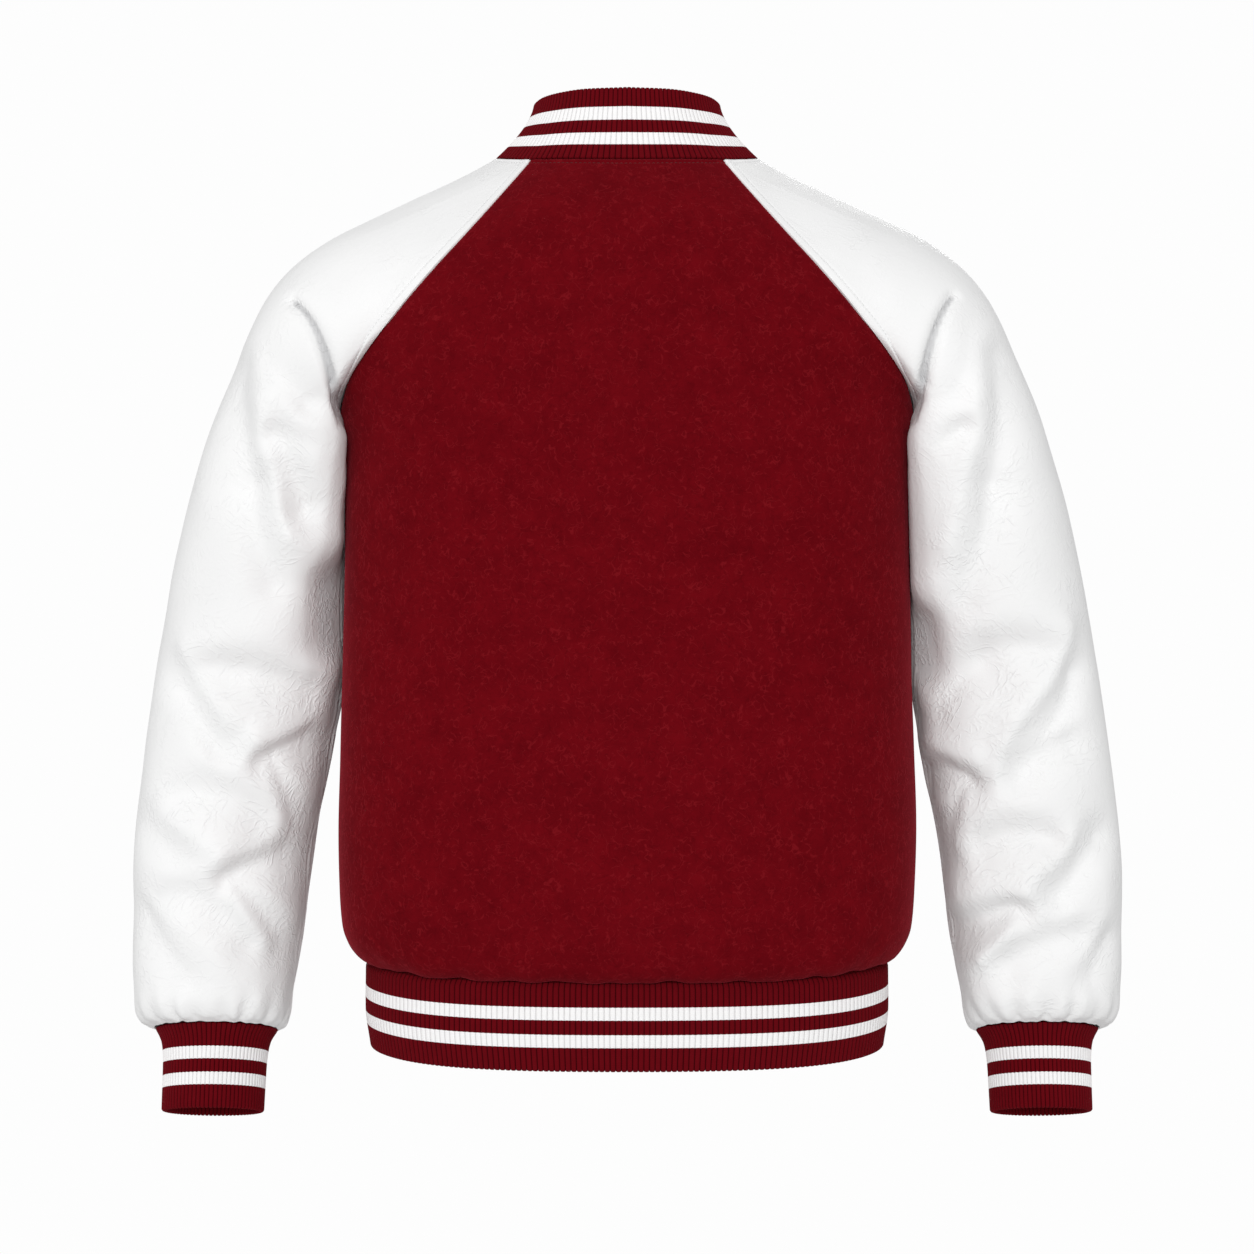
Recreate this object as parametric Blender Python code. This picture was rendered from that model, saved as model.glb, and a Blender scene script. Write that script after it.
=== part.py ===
"""Varsity jacket: wool body, raglan leather sleeves, rib-knit collar, cuffs and hem band.

The jacket is filled out and empty, as on a wearer who isn't there. X runs to the wearer's
left, Y to the wearer's back and Z up. The origin is the middle of the neck opening, level
with the tops of the shoulders. The tables below are in millimetres.
"""

import math

import bmesh
import bpy
import numpy as np

MM = 0.001

# Walls, seams and closure.
WOOL_WALL = 2.2
LEATHER_WALL = 1.7
RIB_WALL = 2.6
SEAM_GAP = 0.34
RIB_HEIGHT = 0.8
STAND_HALF_WIDTH = 14.0
STAND_LIFT = 3.2
BAND_LIFT = 4.2
LIFT_FADE = 34.0

# How finely each piece is cut into faces.
RAGLAN_STEPS = 11
NECK_STEPS = 5
SIDE_HEIGHTS = (-600.5, -597.0, -588.0, -572.0, -545.0, -500.0, -440.0, -370.0, -300.0, -245.0)
BACK_HALF_COLUMNS = 7
FRONT_COLUMNS = 7
SLEEVE_STATIONS = 25
COLLAR_RIBS_PER_SIDE = 60
COLLAR_LEVELS = (0.0, 0.22, 0.55, 1.0)
BAND_RIBS_PER_SIDE = 128
CUFF_RIBS = 72

# The body's section at each height: half its width and its depth to the back and front.
# Above the armhole the width is worked out from the raglan seams.
BODY_POWER = 2.4
BODY_COLUMNS = ("height", "half_width", "back_depth", "front_depth")
BODY_ROWS = (
    (-600.5, 194.4, 119.5, 118.5),
    (-597.0, 200.5, 125.5, 121.0),
    (-588.0, 207.0, 131.0, 124.0),
    (-572.0, 211.0, 134.0, 126.5),
    (-545.0, 213.2, 135.5, 128.0),
    (-500.0, 214.2, 134.5, 127.0),
    (-440.0, 212.6, 131.5, 124.5),
    (-370.0, 210.6, 128.0, 122.0),
    (-300.0, 210.2, 126.5, 121.5),
    (-245.0, 210.8, 127.0, 121.0),
    (-210.5, 211.5, 128.0, 119.0),
    (-170.0, 213.0, 128.0, 112.5),
    (-130.0, 210.0, 124.0, 102.5),
    (-90.0, 180.0, 115.5, 85.5),
    (-60.0, 150.0, 103.5, 74.0),
    (-35.0, 120.0, 88.0, 63.0),
    (-12.0, 95.0, 69.5, 58.0),
    (0.0, 80.0, 60.0, 55.0),
)

# Raglan seams, from the underarm up to the neck, on the wearer's left.
SEAM_COLUMNS = ("x", "y", "z")
BACK_SEAM = (
    (211.5, 0.0, -210.5),
    (211.6, 19.0, -206.5),
    (210.2, 34.0, -195.5),
    (206.0, 49.0, -181.2),
    (201.0, 61.0, -171.3),
    (186.1, 79.0, -151.4),
    (169.2, 88.0, -130.9),
    (151.9, 90.0, -109.7),
    (133.4, 88.5, -88.1),
    (114.1, 83.0, -65.9),
    (95.3, 73.0, -43.0),
    (77.1, 58.0, -19.3),
    (70.1, 50.0, -9.3),
)
FRONT_SEAM = (
    (211.5, 0.0, -210.5),
    (211.6, -19.0, -206.5),
    (210.2, -34.0, -195.5),
    (202.5, -52.0, -175.0),
    (188.0, -65.0, -153.0),
    (170.0, -73.0, -130.0),
    (149.0, -74.5, -106.0),
    (126.0, -70.0, -83.0),
    (102.0, -60.5, -61.0),
    (85.0, -52.0, -45.0),
    (76.0, -46.0, -36.5),
)
# The sleeve's edge at the neck, from the back seam over the shoulder to the front seam.
NECK_EDGE = (
    (70.1, 50.0, -9.3),
    (86.2, 31.0, -5.8),
    (96.4, 7.0, -2.2),
    (95.6, -15.0, -6.8),
    (87.8, -33.0, -20.0),
    (76.0, -46.0, -36.5),
)
BACK_NECK_HEIGHT = -12.0
FRONT_NECK_HEIGHT = -80.0
NECK_DIP_POWER = 1.9

# The sleeve's sections. Each is an oval between a point on the outer outline and one on
# the inner outline. Half depth is its reach to the back and front, middle is how far back
# its centre lies, and rise lifts its back edge and drops its front edge.
SLEEVE_POWER = 2.15
SLEEVE_COLUMNS = (
    "station", "outer_x", "outer_z", "inner_x", "inner_z", "half_depth", "middle", "rise",
)
SLEEVE_ROWS = (
    (0, 96.4, -2.2, 211.5, -210.5, 94.0, 0.0, 0.00),
    (1, 129.0, -19.4, 212.5, -214.0, 93.0, 0.0, 0.00),
    (2, 161.2, -34.2, 213.4, -219.0, 91.0, 0.0, 0.00),
    (3, 193.0, -48.9, 214.0, -225.0, 90.0, 0.0, 0.00),
    (4, 223.3, -64.5, 214.5, -232.0, 88.5, -1.0, 0.00),
    (5, 247.8, -82.9, 214.8, -241.0, 87.0, -2.0, 0.00),
    (6, 265.4, -103.8, 215.0, -252.0, 86.0, -3.0, 0.00),
    (7, 281.5, -133.0, 215.2, -266.0, 85.0, -4.5, 0.00),
    (8, 296.5, -167.0, 215.3, -284.0, 83.0, -6.0, 0.00),
    (9, 309.5, -200.0, 215.2, -305.0, 81.0, -7.5, 0.00),
    (10, 320.0, -233.0, 215.0, -328.0, 79.0, -9.0, 0.00),
    (11, 329.5, -268.0, 214.8, -352.0, 77.0, -10.5, 0.00),
    (12, 338.0, -305.0, 214.6, -378.0, 75.5, -12.0, 0.00),
    (13, 345.5, -347.0, 214.6, -404.0, 74.0, -12.5, 0.02),
    (14, 352.5, -390.0, 216.0, -430.0, 72.5, -12.0, 0.03),
    (15, 358.0, -428.0, 222.0, -457.0, 71.0, -11.0, 0.05),
    (16, 362.5, -466.0, 229.0, -485.0, 69.5, -9.0, 0.08),
    (17, 366.5, -504.0, 234.0, -514.0, 67.5, -7.0, 0.11),
    (18, 368.0, -540.0, 237.5, -545.0, 65.5, -5.0, 0.14),
    (19, 368.0, -572.0, 241.0, -575.0, 63.0, -3.5, 0.17),
    (20, 367.5, -600.0, 246.0, -602.0, 60.0, -2.0, 0.20),
    (21, 366.0, -622.0, 250.0, -623.0, 57.5, -1.0, 0.23),
    (22, 365.0, -637.5, 251.5, -638.0, 54.5, 0.0, 0.25),
    (23, 361.0, -647.0, 254.5, -647.5, 50.5, 0.0, 0.265),
    (24, 351.5, -651.7, 260.5, -651.7, 44.0, 0.0, 0.268),
)
# The seam edge and the ovals meet over this many stations.
SEAM_FADE_STATIONS = 7.0
SEAM_EDGE_TURN = math.radians(148.0)
# Under the arm the two walls meet face to face, so the wall stands up from its edge.
UNDERARM_DOWN = np.array((0.0, 0.0, -1.0))

# Large folds in the sleeves: soft troughs (depth above 0) and ridges (below 0) that run
# between two points of the side stated. Left and right sleeves differ a little.
FOLD_COLUMNS = ("x0", "z0", "x1", "z1", "half_width", "depth")
LEFT_BACK_FOLDS = (
    (238.0, -116.0, 214.0, -196.0, 15.0, 7.0),
    (284.0, -188.0, 270.0, -268.0, 20.0, 3.5),
    (301.0, -364.0, 286.0, -376.0, 24.0, 4.5),
    (331.0, -372.0, 300.0, -424.0, 16.0, -3.5),
    (268.0, -440.0, 258.0, -470.0, 22.0, 5.0),
    (330.0, -452.0, 296.0, -476.0, 20.0, 4.0),
    (300.0, -518.0, 270.0, -528.0, 22.0, 3.5),
)
LEFT_FRONT_FOLDS = (
    (236.0, -112.0, 216.0, -190.0, 16.0, 6.0),
    (296.0, -210.0, 262.0, -262.0, 20.0, 3.5),
    (316.0, -338.0, 262.0, -356.0, 22.0, 6.0),
    (322.0, -396.0, 268.0, -392.0, 20.0, 5.0),
    (300.0, -446.0, 262.0, -462.0, 20.0, 4.0),
    (330.0, -524.0, 286.0, -536.0, 22.0, 3.5),
)
RIGHT_BACK_FOLDS = (
    (236.0, -112.0, 213.0, -200.0, 15.0, 7.0),
    (280.0, -152.0, 271.0, -218.0, 20.0, 3.5),
    (306.0, -353.0, 262.0, -368.0, 22.0, 4.5),
    (324.0, -380.0, 282.0, -436.0, 16.0, -3.5),
    (336.0, -398.0, 303.0, -446.0, 16.0, 3.5),
    (252.0, -462.0, 268.0, -486.0, 22.0, 5.0),
    (306.0, -500.0, 280.0, -500.0, 20.0, 3.5),
)
RIGHT_FRONT_FOLDS = (
    (238.0, -116.0, 217.0, -186.0, 16.0, 6.0),
    (288.0, -226.0, 264.0, -270.0, 20.0, 3.5),
    (310.0, -344.0, 260.0, -350.0, 22.0, 6.0),
    (318.0, -384.0, 270.0, -400.0, 20.0, 5.0),
    (306.0, -454.0, 266.0, -456.0, 20.0, 4.0),
    (322.0, -532.0, 288.0, -526.0, 22.0, 3.5),
)

# The collar's top edge, read along the neck from the middle of the back to the front end.
COLLAR_COLUMNS = ("along", "x", "y", "z")
COLLAR_TOP = (
    (0.00, 0.0, 55.0, 42.8),
    (0.13, 29.0, 51.0, 43.0),
    (0.27, 54.0, 36.0, 42.8),
    (0.36, 64.0, 21.0, 41.5),
    (0.44, 68.6, 6.0, 38.6),
    (0.56, 66.0, -14.0, 32.0),
    (0.70, 53.0, -36.0, 14.0),
    (0.85, 31.0, -54.0, -14.0),
    (1.00, 2.0, -62.0, -40.0),
)
COLLAR_FLARE_POWER = 1.6
COLLAR_END_X = 1.6
COLLAR_END_ROUNDING = 14.0

# The hem band's section at each height.
BAND_COLUMNS = ("height", "half_width", "back_depth", "front_depth")
BAND_ROWS = (
    (-600.9, 193.0, 118.5, 117.5),
    (-634.0, 193.2, 119.0, 118.0),
    (-662.8, 189.5, 116.5, 115.5),
)

# A cuff's section at each distance below its seam.
CUFF_COLUMNS = ("below", "centre_x", "half_width", "half_depth")
CUFF_ROWS = (
    (0.4, 305.6, 43.8, 41.5),
    (22.0, 306.0, 37.6, 35.5),
    (57.0, 306.3, 36.9, 34.0),
)
CUFF_TILT = math.radians(15.0)
CUFF_SEAM_HEIGHT = -651.7

# Snap caps, on the middle line of the front.
SNAP_HEIGHTS = (-96.0, -187.0, -278.0, -369.0, -460.0, -551.0, -630.0)
SNAP_RADIUS = 7.5
SNAP_HEIGHT = 2.4
SNAP_SIDES = 16
SNAP_CLEARANCE = 0.5

MATERIALS = {
    "wool": ((0.135, 0.003, 0.008, 1.0), 0.9, 0.0),
    "leather": ((0.84, 0.84, 0.85, 1.0), 0.5, 0.0),
    "rib_knit": ((0.100, 0.004, 0.010, 1.0), 0.85, 0.0),
    "snap_metal": ((0.60, 0.60, 0.62, 1.0), 0.3, 1.0),
}


def slopes(xs, ys):
    """Slopes of a smooth curve through a table that never overshoots it."""
    step = np.diff(xs)
    rate = np.diff(ys) / step
    slope = np.zeros_like(ys)
    slope[0] = rate[0]
    slope[-1] = rate[-1]
    for i in range(1, len(xs) - 1):
        if rate[i - 1] * rate[i] > 0.0:
            w0 = 2.0 * step[i] + step[i - 1]
            w1 = step[i] + 2.0 * step[i - 1]
            slope[i] = (w0 + w1) / (w0 / rate[i - 1] + w1 / rate[i])
    return slope


def smooth(xs, ys, x):
    """Read the table (xs, ys) at x along a smooth curve."""
    xs = np.asarray(xs, float)
    ys = np.asarray(ys, float)
    x = np.clip(np.asarray(x, float), xs[0], xs[-1])
    slope = slopes(xs, ys)
    i = np.clip(np.searchsorted(xs, x, side="right") - 1, 0, len(xs) - 2)
    h = xs[i + 1] - xs[i]
    t = (x - xs[i]) / h
    a = (1.0 + 2.0 * t) * (1.0 - t) ** 2
    b = t * (1.0 - t) ** 2
    c = t * t * (3.0 - 2.0 * t)
    d = t * t * (t - 1.0)
    return a * ys[i] + b * h * slope[i] + c * ys[i + 1] + d * h * slope[i + 1]


def column(rows, names, name):
    """One named column of a table."""
    return np.array([row[names.index(name)] for row in rows], float)


def distance_along(points):
    """The distance of each point of a line of points from its start."""
    return np.concatenate(([0.0], np.cumsum(np.linalg.norm(np.diff(points, axis=0), axis=1))))


def along_polyline(points, fractions):
    """Points at fractions of a polyline's length, kept on its straight pieces."""
    along = distance_along(points)
    wanted = np.asarray(fractions, float) * along[-1]
    return np.stack([np.interp(wanted, along, points[:, k]) for k in range(3)], axis=1)


def curve_through(points, fractions):
    """Points at fractions of the length of a smooth curve through the points."""
    points = np.asarray(points, float)
    knots = distance_along(points)
    spots = np.linspace(0.0, knots[-1], 400)
    fine = np.stack([smooth(knots, points[:, k], spots) for k in range(3)], axis=1)
    return along_polyline(fine, fractions)


def fade(value):
    """1 at 0 and below, 0 at 1 and above, smooth between."""
    t = np.clip(value, 0.0, 1.0)
    return 1.0 - t * t * t * (t * (6.0 * t - 15.0) + 10.0)


def unit(vectors):
    """Vectors scaled to length 1."""
    length = np.linalg.norm(vectors, axis=-1, keepdims=True)
    return vectors / np.maximum(length, 1e-9)


def grid_normals(grid, wrap):
    """Unit normals of a grid of points, along rows cross along columns."""
    down = np.gradient(grid, axis=0)
    if wrap:
        across = np.roll(grid, -1, axis=1) - np.roll(grid, 1, axis=1)
    else:
        across = np.gradient(grid, axis=1)
    return unit(np.cross(across, down))


def edge_shift(edge, normals, inward):
    """Move along the surface, square to an edge, towards the piece that owns the edge."""
    along = unit(np.gradient(edge, axis=0))
    square = unit(np.cross(normals, along))
    side = np.sign(np.sum(square * inward, axis=-1, keepdims=True))
    return square * side * SEAM_GAP * 0.5


# ---------------------------------------------------------------- solids


def make_object(name, vertices, faces, material, smooth_shading=True):
    """A closed solid, its faces turned outward, with one material."""
    mesh = bpy.data.meshes.new(name)
    mesh.from_pydata([tuple(v * MM) for v in np.asarray(vertices)], [], faces)
    work = bmesh.new()
    work.from_mesh(mesh)
    bmesh.ops.recalc_face_normals(work, faces=work.faces)
    if work.calc_volume(signed=True) < 0.0:
        bmesh.ops.reverse_faces(work, faces=work.faces)
    work.to_mesh(mesh)
    work.free()
    for polygon in mesh.polygons:
        polygon.use_smooth = smooth_shading
    made = bpy.data.objects.new(name, mesh)
    made.data.materials.append(material)
    bpy.context.scene.collection.objects.link(made)
    return made


def wall_faces(rows, outer_columns, inner_columns, wrap):
    """Faces of a wall with an outer and an inner grid.

    The outer grid may have a whole number of points to each point of the inner grid.
    """
    ratio = outer_columns // inner_columns if wrap else (outer_columns - 1) // (inner_columns - 1)
    start = rows * outer_columns
    faces = []

    def outer(r, c):
        return r * outer_columns + c % outer_columns

    def inner(r, c):
        return start + r * inner_columns + c % inner_columns

    outer_spans = outer_columns if wrap else outer_columns - 1
    inner_spans = inner_columns if wrap else inner_columns - 1
    for r in range(rows - 1):
        for c in range(outer_spans):
            faces.append((outer(r, c), outer(r, c + 1), outer(r + 1, c + 1), outer(r + 1, c)))
        for c in range(inner_spans):
            faces.append((inner(r, c), inner(r + 1, c), inner(r + 1, c + 1), inner(r, c + 1)))
    for r in (0, rows - 1):
        for c in range(inner_spans):
            first = c * ratio
            middle = first + (ratio + 1) // 2
            for k in range(first, first + ratio):
                owner = inner(r, c) if k < middle else inner(r, c + 1)
                faces.append((outer(r, k), owner, outer(r, k + 1)))
            faces.append((inner(r, c), inner(r, c + 1), outer(r, middle)))
    if not wrap:
        for c_out, c_in in ((0, 0), (outer_columns - 1, inner_columns - 1)):
            for r in range(rows - 1):
                faces.append((outer(r, c_out), outer(r + 1, c_out), inner(r + 1, c_in), inner(r, c_in)))
    return faces


def wall_solid(name, outer_grid, inner_grid, wrap, material):
    """A cloth wall between an outer and an inner grid of points."""
    rows, outer_columns = outer_grid.shape[:2]
    inner_columns = inner_grid.shape[1]
    vertices = np.concatenate((outer_grid.reshape(-1, 3), inner_grid.reshape(-1, 3)))
    faces = wall_faces(rows, outer_columns, inner_columns, wrap)
    return make_object(name, vertices, faces, material)


def mirrored(grid):
    """The same grid on the wearer's other side."""
    return grid * np.array((-1.0, 1.0, 1.0))


# ---------------------------------------------------------------- body


def seam_of(face):
    """The raglan seam of the back (1) or the front (-1)."""
    return np.array(BACK_SEAM if face > 0 else FRONT_SEAM, float)


def seam_points(face):
    """Evenly spaced points of a raglan seam, from the underarm to the neck."""
    return curve_through(seam_of(face), np.linspace(0.0, 1.0, RAGLAN_STEPS + 1))


def edge_at(face, height):
    """Half width and depth of the body's edge at a height."""
    seam = seam_points(face)
    order = np.argsort(seam[:, 2])
    width = np.interp(height, seam[order, 2], seam[order, 0])
    depth = np.interp(height, seam[order, 2], np.abs(seam[order, 1]))
    heights = column(BODY_ROWS, BODY_COLUMNS, "height")
    side = smooth(heights, column(BODY_ROWS, BODY_COLUMNS, "half_width"), height)
    below = height <= seam[0, 2]
    return np.where(below, side, width), np.where(below, 0.0, depth)


def body_depth(face, x, height):
    """How far back (or forward) the body's outside lies at a place across it."""
    heights = column(BODY_ROWS, BODY_COLUMNS, "height")
    name = "back_depth" if face > 0 else "front_depth"
    middle = smooth(heights, column(BODY_ROWS, BODY_COLUMNS, name), height)
    width, depth = edge_at(face, height)
    share = np.clip(1.0 - (depth / middle) ** BODY_POWER, 1e-6, 1.0)
    full = width / share ** (1.0 / BODY_POWER)
    rest = np.clip(1.0 - (np.abs(x) / full) ** BODY_POWER, 0.0, 1.0)
    return face * middle * rest ** (1.0 / BODY_POWER)


def side_spread(face, height, steps):
    """Fractions of the half width, closer together where the body turns to its side."""
    heights = column(BODY_ROWS, BODY_COLUMNS, "height")
    name = "back_depth" if face > 0 else "front_depth"
    middle = float(smooth(heights, column(BODY_ROWS, BODY_COLUMNS, name), height))
    width, depth = edge_at(face, height)
    share = max(1.0 - (float(depth) / middle) ** BODY_POWER, 0.0)
    turn = math.asin(math.sqrt(min(share, 1.0)))
    angles = turn * np.linspace(0.0, 1.0, steps + 1)
    spread = (np.sin(angles) / math.sin(turn)) ** (2.0 / BODY_POWER)
    return 0.6 * spread + 0.4 * np.linspace(0.0, 1.0, steps + 1)


def edge_heights(face):
    """The heights of a panel's rows at its outer edge."""
    seam = seam_points(face)
    return np.concatenate((SIDE_HEIGHTS, seam[:, 2]))


def body_panel(face, first_x):
    """Outer grid of the back or a front, rows from the hem up.

    first_x None makes the whole back. Otherwise the panel runs from first_x, on the far
    side of the middle line, to the wearer's left side.
    """
    neck = BACK_NECK_HEIGHT if face > 0 else FRONT_NECK_HEIGHT
    steps = BACK_HALF_COLUMNS if face > 0 else FRONT_COLUMNS
    rows = edge_heights(face)
    low, high = rows[0], rows[-1]
    seam = seam_points(face)
    grid = []
    for index, row in enumerate(rows):
        centre = low + (row - low) * (neck - low) / (high - low)
        if index >= len(SIDE_HEIGHTS):
            width = seam[index - len(SIDE_HEIGHTS), 0]
        else:
            width = float(edge_at(face, row)[0])
        spread = side_spread(face, row, steps)
        if first_x is None:
            xs = width * np.concatenate((-spread[::-1], spread[1:]))
        else:
            start = -first_x
            xs = np.concatenate(([first_x, 0.0], start + (width - start) * spread))
        height = centre + (row - centre) * (np.abs(xs) / width) ** NECK_DIP_POWER
        ys = body_depth(face, xs, height)
        grid.append(np.stack((xs, ys, height), axis=1))
        if index >= len(SIDE_HEIGHTS):
            grid[-1][-1] = seam[index - len(SIDE_HEIGHTS)]
            if first_x is None:
                grid[-1][0] = grid[-1][-1] * (-1.0, 1.0, 1.0)
        else:
            grid[-1][-1, 1] = 0.0
            if first_x is None:
                grid[-1][0, 1] = 0.0
    return np.array(grid)


# ---------------------------------------------------------------- sleeves


def fold_push(points, folds):
    """How far inward folds push points, by their distance from each fold's line."""
    push = np.zeros(points.shape[:-1])
    for x0, z0, x1, z1, half_width, depth in folds:
        start = np.array((x0, z0))
        along = np.array((x1 - x0, z1 - z0))
        flat = points[..., (0, 2)] - start
        place = np.clip(flat @ along / (along @ along), 0.0, 1.0)
        away = np.linalg.norm(flat - place[..., None] * along, axis=-1)
        push += depth * np.exp(-((away / half_width) ** 2))
    return push


def sleeve_oval(station, turn):
    """A point of the sleeve's oval sections at a station, turn 0 at the inner outline."""
    table = {
        name: smooth(range(len(SLEEVE_ROWS)), column(SLEEVE_ROWS, SLEEVE_COLUMNS, name), station)
        for name in SLEEVE_COLUMNS[1:]
    }
    outer = np.stack((table["outer_x"], table["outer_z"]), axis=-1)
    inner = np.stack((table["inner_x"], table["inner_z"]), axis=-1)
    middle = (outer + inner) * 0.5
    reach = (inner - outer) * 0.5
    cosine = np.cos(turn)
    sine = np.sin(turn)
    along = np.sign(cosine) * np.abs(cosine) ** (2.0 / SLEEVE_POWER)
    across = np.sign(sine) * np.abs(sine) ** (2.0 / SLEEVE_POWER)
    flat = middle + reach * along[..., None]
    depth = across * table["half_depth"]
    height = flat[..., 1] + table["rise"] * depth
    return np.stack((flat[..., 0], table["middle"] + depth, height), axis=-1)


def sleeve_edge():
    """The sleeve's edge: up the back seam, over the neck and down the front seam."""
    back = seam_points(1)
    front = seam_points(-1)[::-1]
    neck = curve_through(NECK_EDGE, np.linspace(0.0, 1.0, NECK_STEPS + 1))
    points = np.concatenate((back, neck[1:-1], front[:-1]))
    turns = np.concatenate(
        (
            np.linspace(0.0, SEAM_EDGE_TURN, RAGLAN_STEPS + 1),
            np.linspace(SEAM_EDGE_TURN, 2.0 * math.pi - SEAM_EDGE_TURN, NECK_STEPS + 1)[1:-1],
            np.linspace(2.0 * math.pi - SEAM_EDGE_TURN, 2.0 * math.pi, RAGLAN_STEPS + 1)[:-1],
        )
    )
    return points, turns


def sleeve_grid(back_folds, front_folds):
    """Outer grid of the wearer's left sleeve, a row per station from the seam to the cuff."""
    edge, turns = sleeve_edge()
    stations = np.linspace(0.0, len(SLEEVE_ROWS) - 1.0, SLEEVE_STATIONS)
    station, turn = np.meshgrid(stations, turns, indexing="ij")
    grid = sleeve_oval(station, turn)
    offset = edge - grid[0]
    grid = grid + offset[None] * fade(station / SEAM_FADE_STATIONS)[..., None]
    normals = grid_normals(grid, True)
    facing = np.sin(turn)
    push = np.where(facing > 0.0, fold_push(grid, back_folds), fold_push(grid, front_folds))
    hold = 1.0 - fade((station - 0.2) / 2.0)
    end = fade((station - (len(SLEEVE_ROWS) - 4.0)) / 2.5)
    push = push * np.abs(facing) * hold * end
    return grid - normals * outward_sign(grid, normals) * push[..., None]


def outward_sign(grid, normals):
    """1 where the normals of a closed tube point away from its middle, else -1."""
    middle = grid.mean(axis=1, keepdims=True)
    return np.sign(np.sum(normals * (grid - middle)))


# ---------------------------------------------------------------- pieces


def lift_left(grid, lift):
    """Raise the wearer's left edge over the right one, where they overlap in front."""
    x = grid[..., 0]
    y = grid[..., 1]
    amount = lift * fade((x - STAND_HALF_WIDTH) / LIFT_FADE) * (y < 0.0)
    raised = grid.copy()
    raised[..., 1] -= amount
    return raised


def body_solids(wool, leather):
    """The back, two fronts and two sleeves, with their shared seams."""
    back = body_panel(1, None)
    front = body_panel(-1, -STAND_HALF_WIDTH)
    front_left = lift_left(front, STAND_LIFT)
    front_right = front.copy()
    sleeve_left = sleeve_grid(LEFT_BACK_FOLDS, LEFT_FRONT_FOLDS)
    sleeve_right = sleeve_grid(RIGHT_BACK_FOLDS, RIGHT_FRONT_FOLDS)

    back_normals = grid_normals(back, False)
    back_normals *= np.sign(back_normals[5, BACK_HALF_COLUMNS, 1])
    front_normals = grid_normals(front_left, False)
    front_normals *= -np.sign(front_normals[5, 1, 1])
    right_normals = grid_normals(front_right, False)
    right_normals *= -np.sign(right_normals[5, 1, 1])

    side_rows = len(SIDE_HEIGHTS)
    side = unit(back_normals[:side_rows, -1] + front_normals[:side_rows, -1])
    side[:, 1] = 0.0
    side = unit(side)

    sleeve_normals = {}
    for name, sleeve in (("left", sleeve_left), ("right", sleeve_right)):
        normals = grid_normals(sleeve, True)
        normals *= outward_sign(sleeve, normals)
        sleeve_normals[name] = normals

    # One wall direction along each shared seam, from the body and the left sleeve.
    seam_back = unit(back_normals[side_rows:, -1] + sleeve_normals["left"][0, : RAGLAN_STEPS + 1])
    sleeve_front = sleeve_normals["left"][0, : -RAGLAN_STEPS - 1 : -1]
    sleeve_front = np.concatenate((sleeve_normals["left"][0, :1], sleeve_front))
    seam_front = unit(front_normals[side_rows:, -1] + sleeve_front)
    seam_back[0] = seam_front[0] = UNDERARM_DOWN

    back_normals[:side_rows, -1] = side
    back_normals[side_rows:, -1] = seam_back
    back_normals[:, 0] = back_normals[:, -1] * (-1.0, 1.0, 1.0)
    for normals in (front_normals, right_normals):
        normals[:side_rows, -1] = side
        normals[side_rows:, -1] = seam_front
    for normals in sleeve_normals.values():
        normals[0, : RAGLAN_STEPS + 1] = seam_back
        normals[0, -RAGLAN_STEPS:] = seam_front[:0:-1]

    back_inner = back - back_normals * WOOL_WALL
    left_inner = front_left - front_normals * WOOL_WALL
    right_inner = front_right - right_normals * WOOL_WALL

    neckline = {
        "back": back[-1].copy(),
        "front_left": front_left[-1].copy(),
        "front_right": mirrored(front_right[-1]),
        "sleeve": sleeve_left[0, RAGLAN_STEPS : RAGLAN_STEPS + NECK_STEPS + 1].copy(),
    }

    for outer, inner, normals, ends in (
        (back, back_inner, back_normals, (0, -1)),
        (front_left, left_inner, front_normals, (-1,)),
        (front_right, right_inner, right_normals, (-1,)),
    ):
        for end in ends:
            near = 1 if end == 0 else -2
            for rows in (slice(0, side_rows + 1), slice(side_rows, None)):
                inward = outer[rows, near] - outer[rows, end]
                shift = edge_shift(outer[rows, end], normals[rows, end], inward)
                outer[rows, end] += shift
                inner[rows, end] += shift

    solids = [
        wall_solid("back", back, back_inner, False, wool),
        wall_solid("front_left", front_left, left_inner, False, wool),
        wall_solid("front_right", mirrored(front_right), mirrored(right_inner), False, wool),
    ]
    for name, sleeve in (("left", sleeve_left), ("right", sleeve_right)):
        inner = sleeve - sleeve_normals[name] * LEATHER_WALL
        inward = sleeve[1] - sleeve[0]
        closed = np.concatenate((sleeve[0], sleeve[0, :1]))
        normals = np.concatenate((sleeve_normals[name][0], sleeve_normals[name][0, :1]))
        towards = np.concatenate((inward, inward[:1]))
        shift = edge_shift(closed, normals, towards)[:-1]
        for rows in (sleeve, inner):
            rows[0] += shift
        if name == "right":
            sleeve, inner = mirrored(sleeve), mirrored(inner)
        solids.append(wall_solid("sleeve_" + name, sleeve, inner, True, leather))
    return solids, neckline


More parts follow.
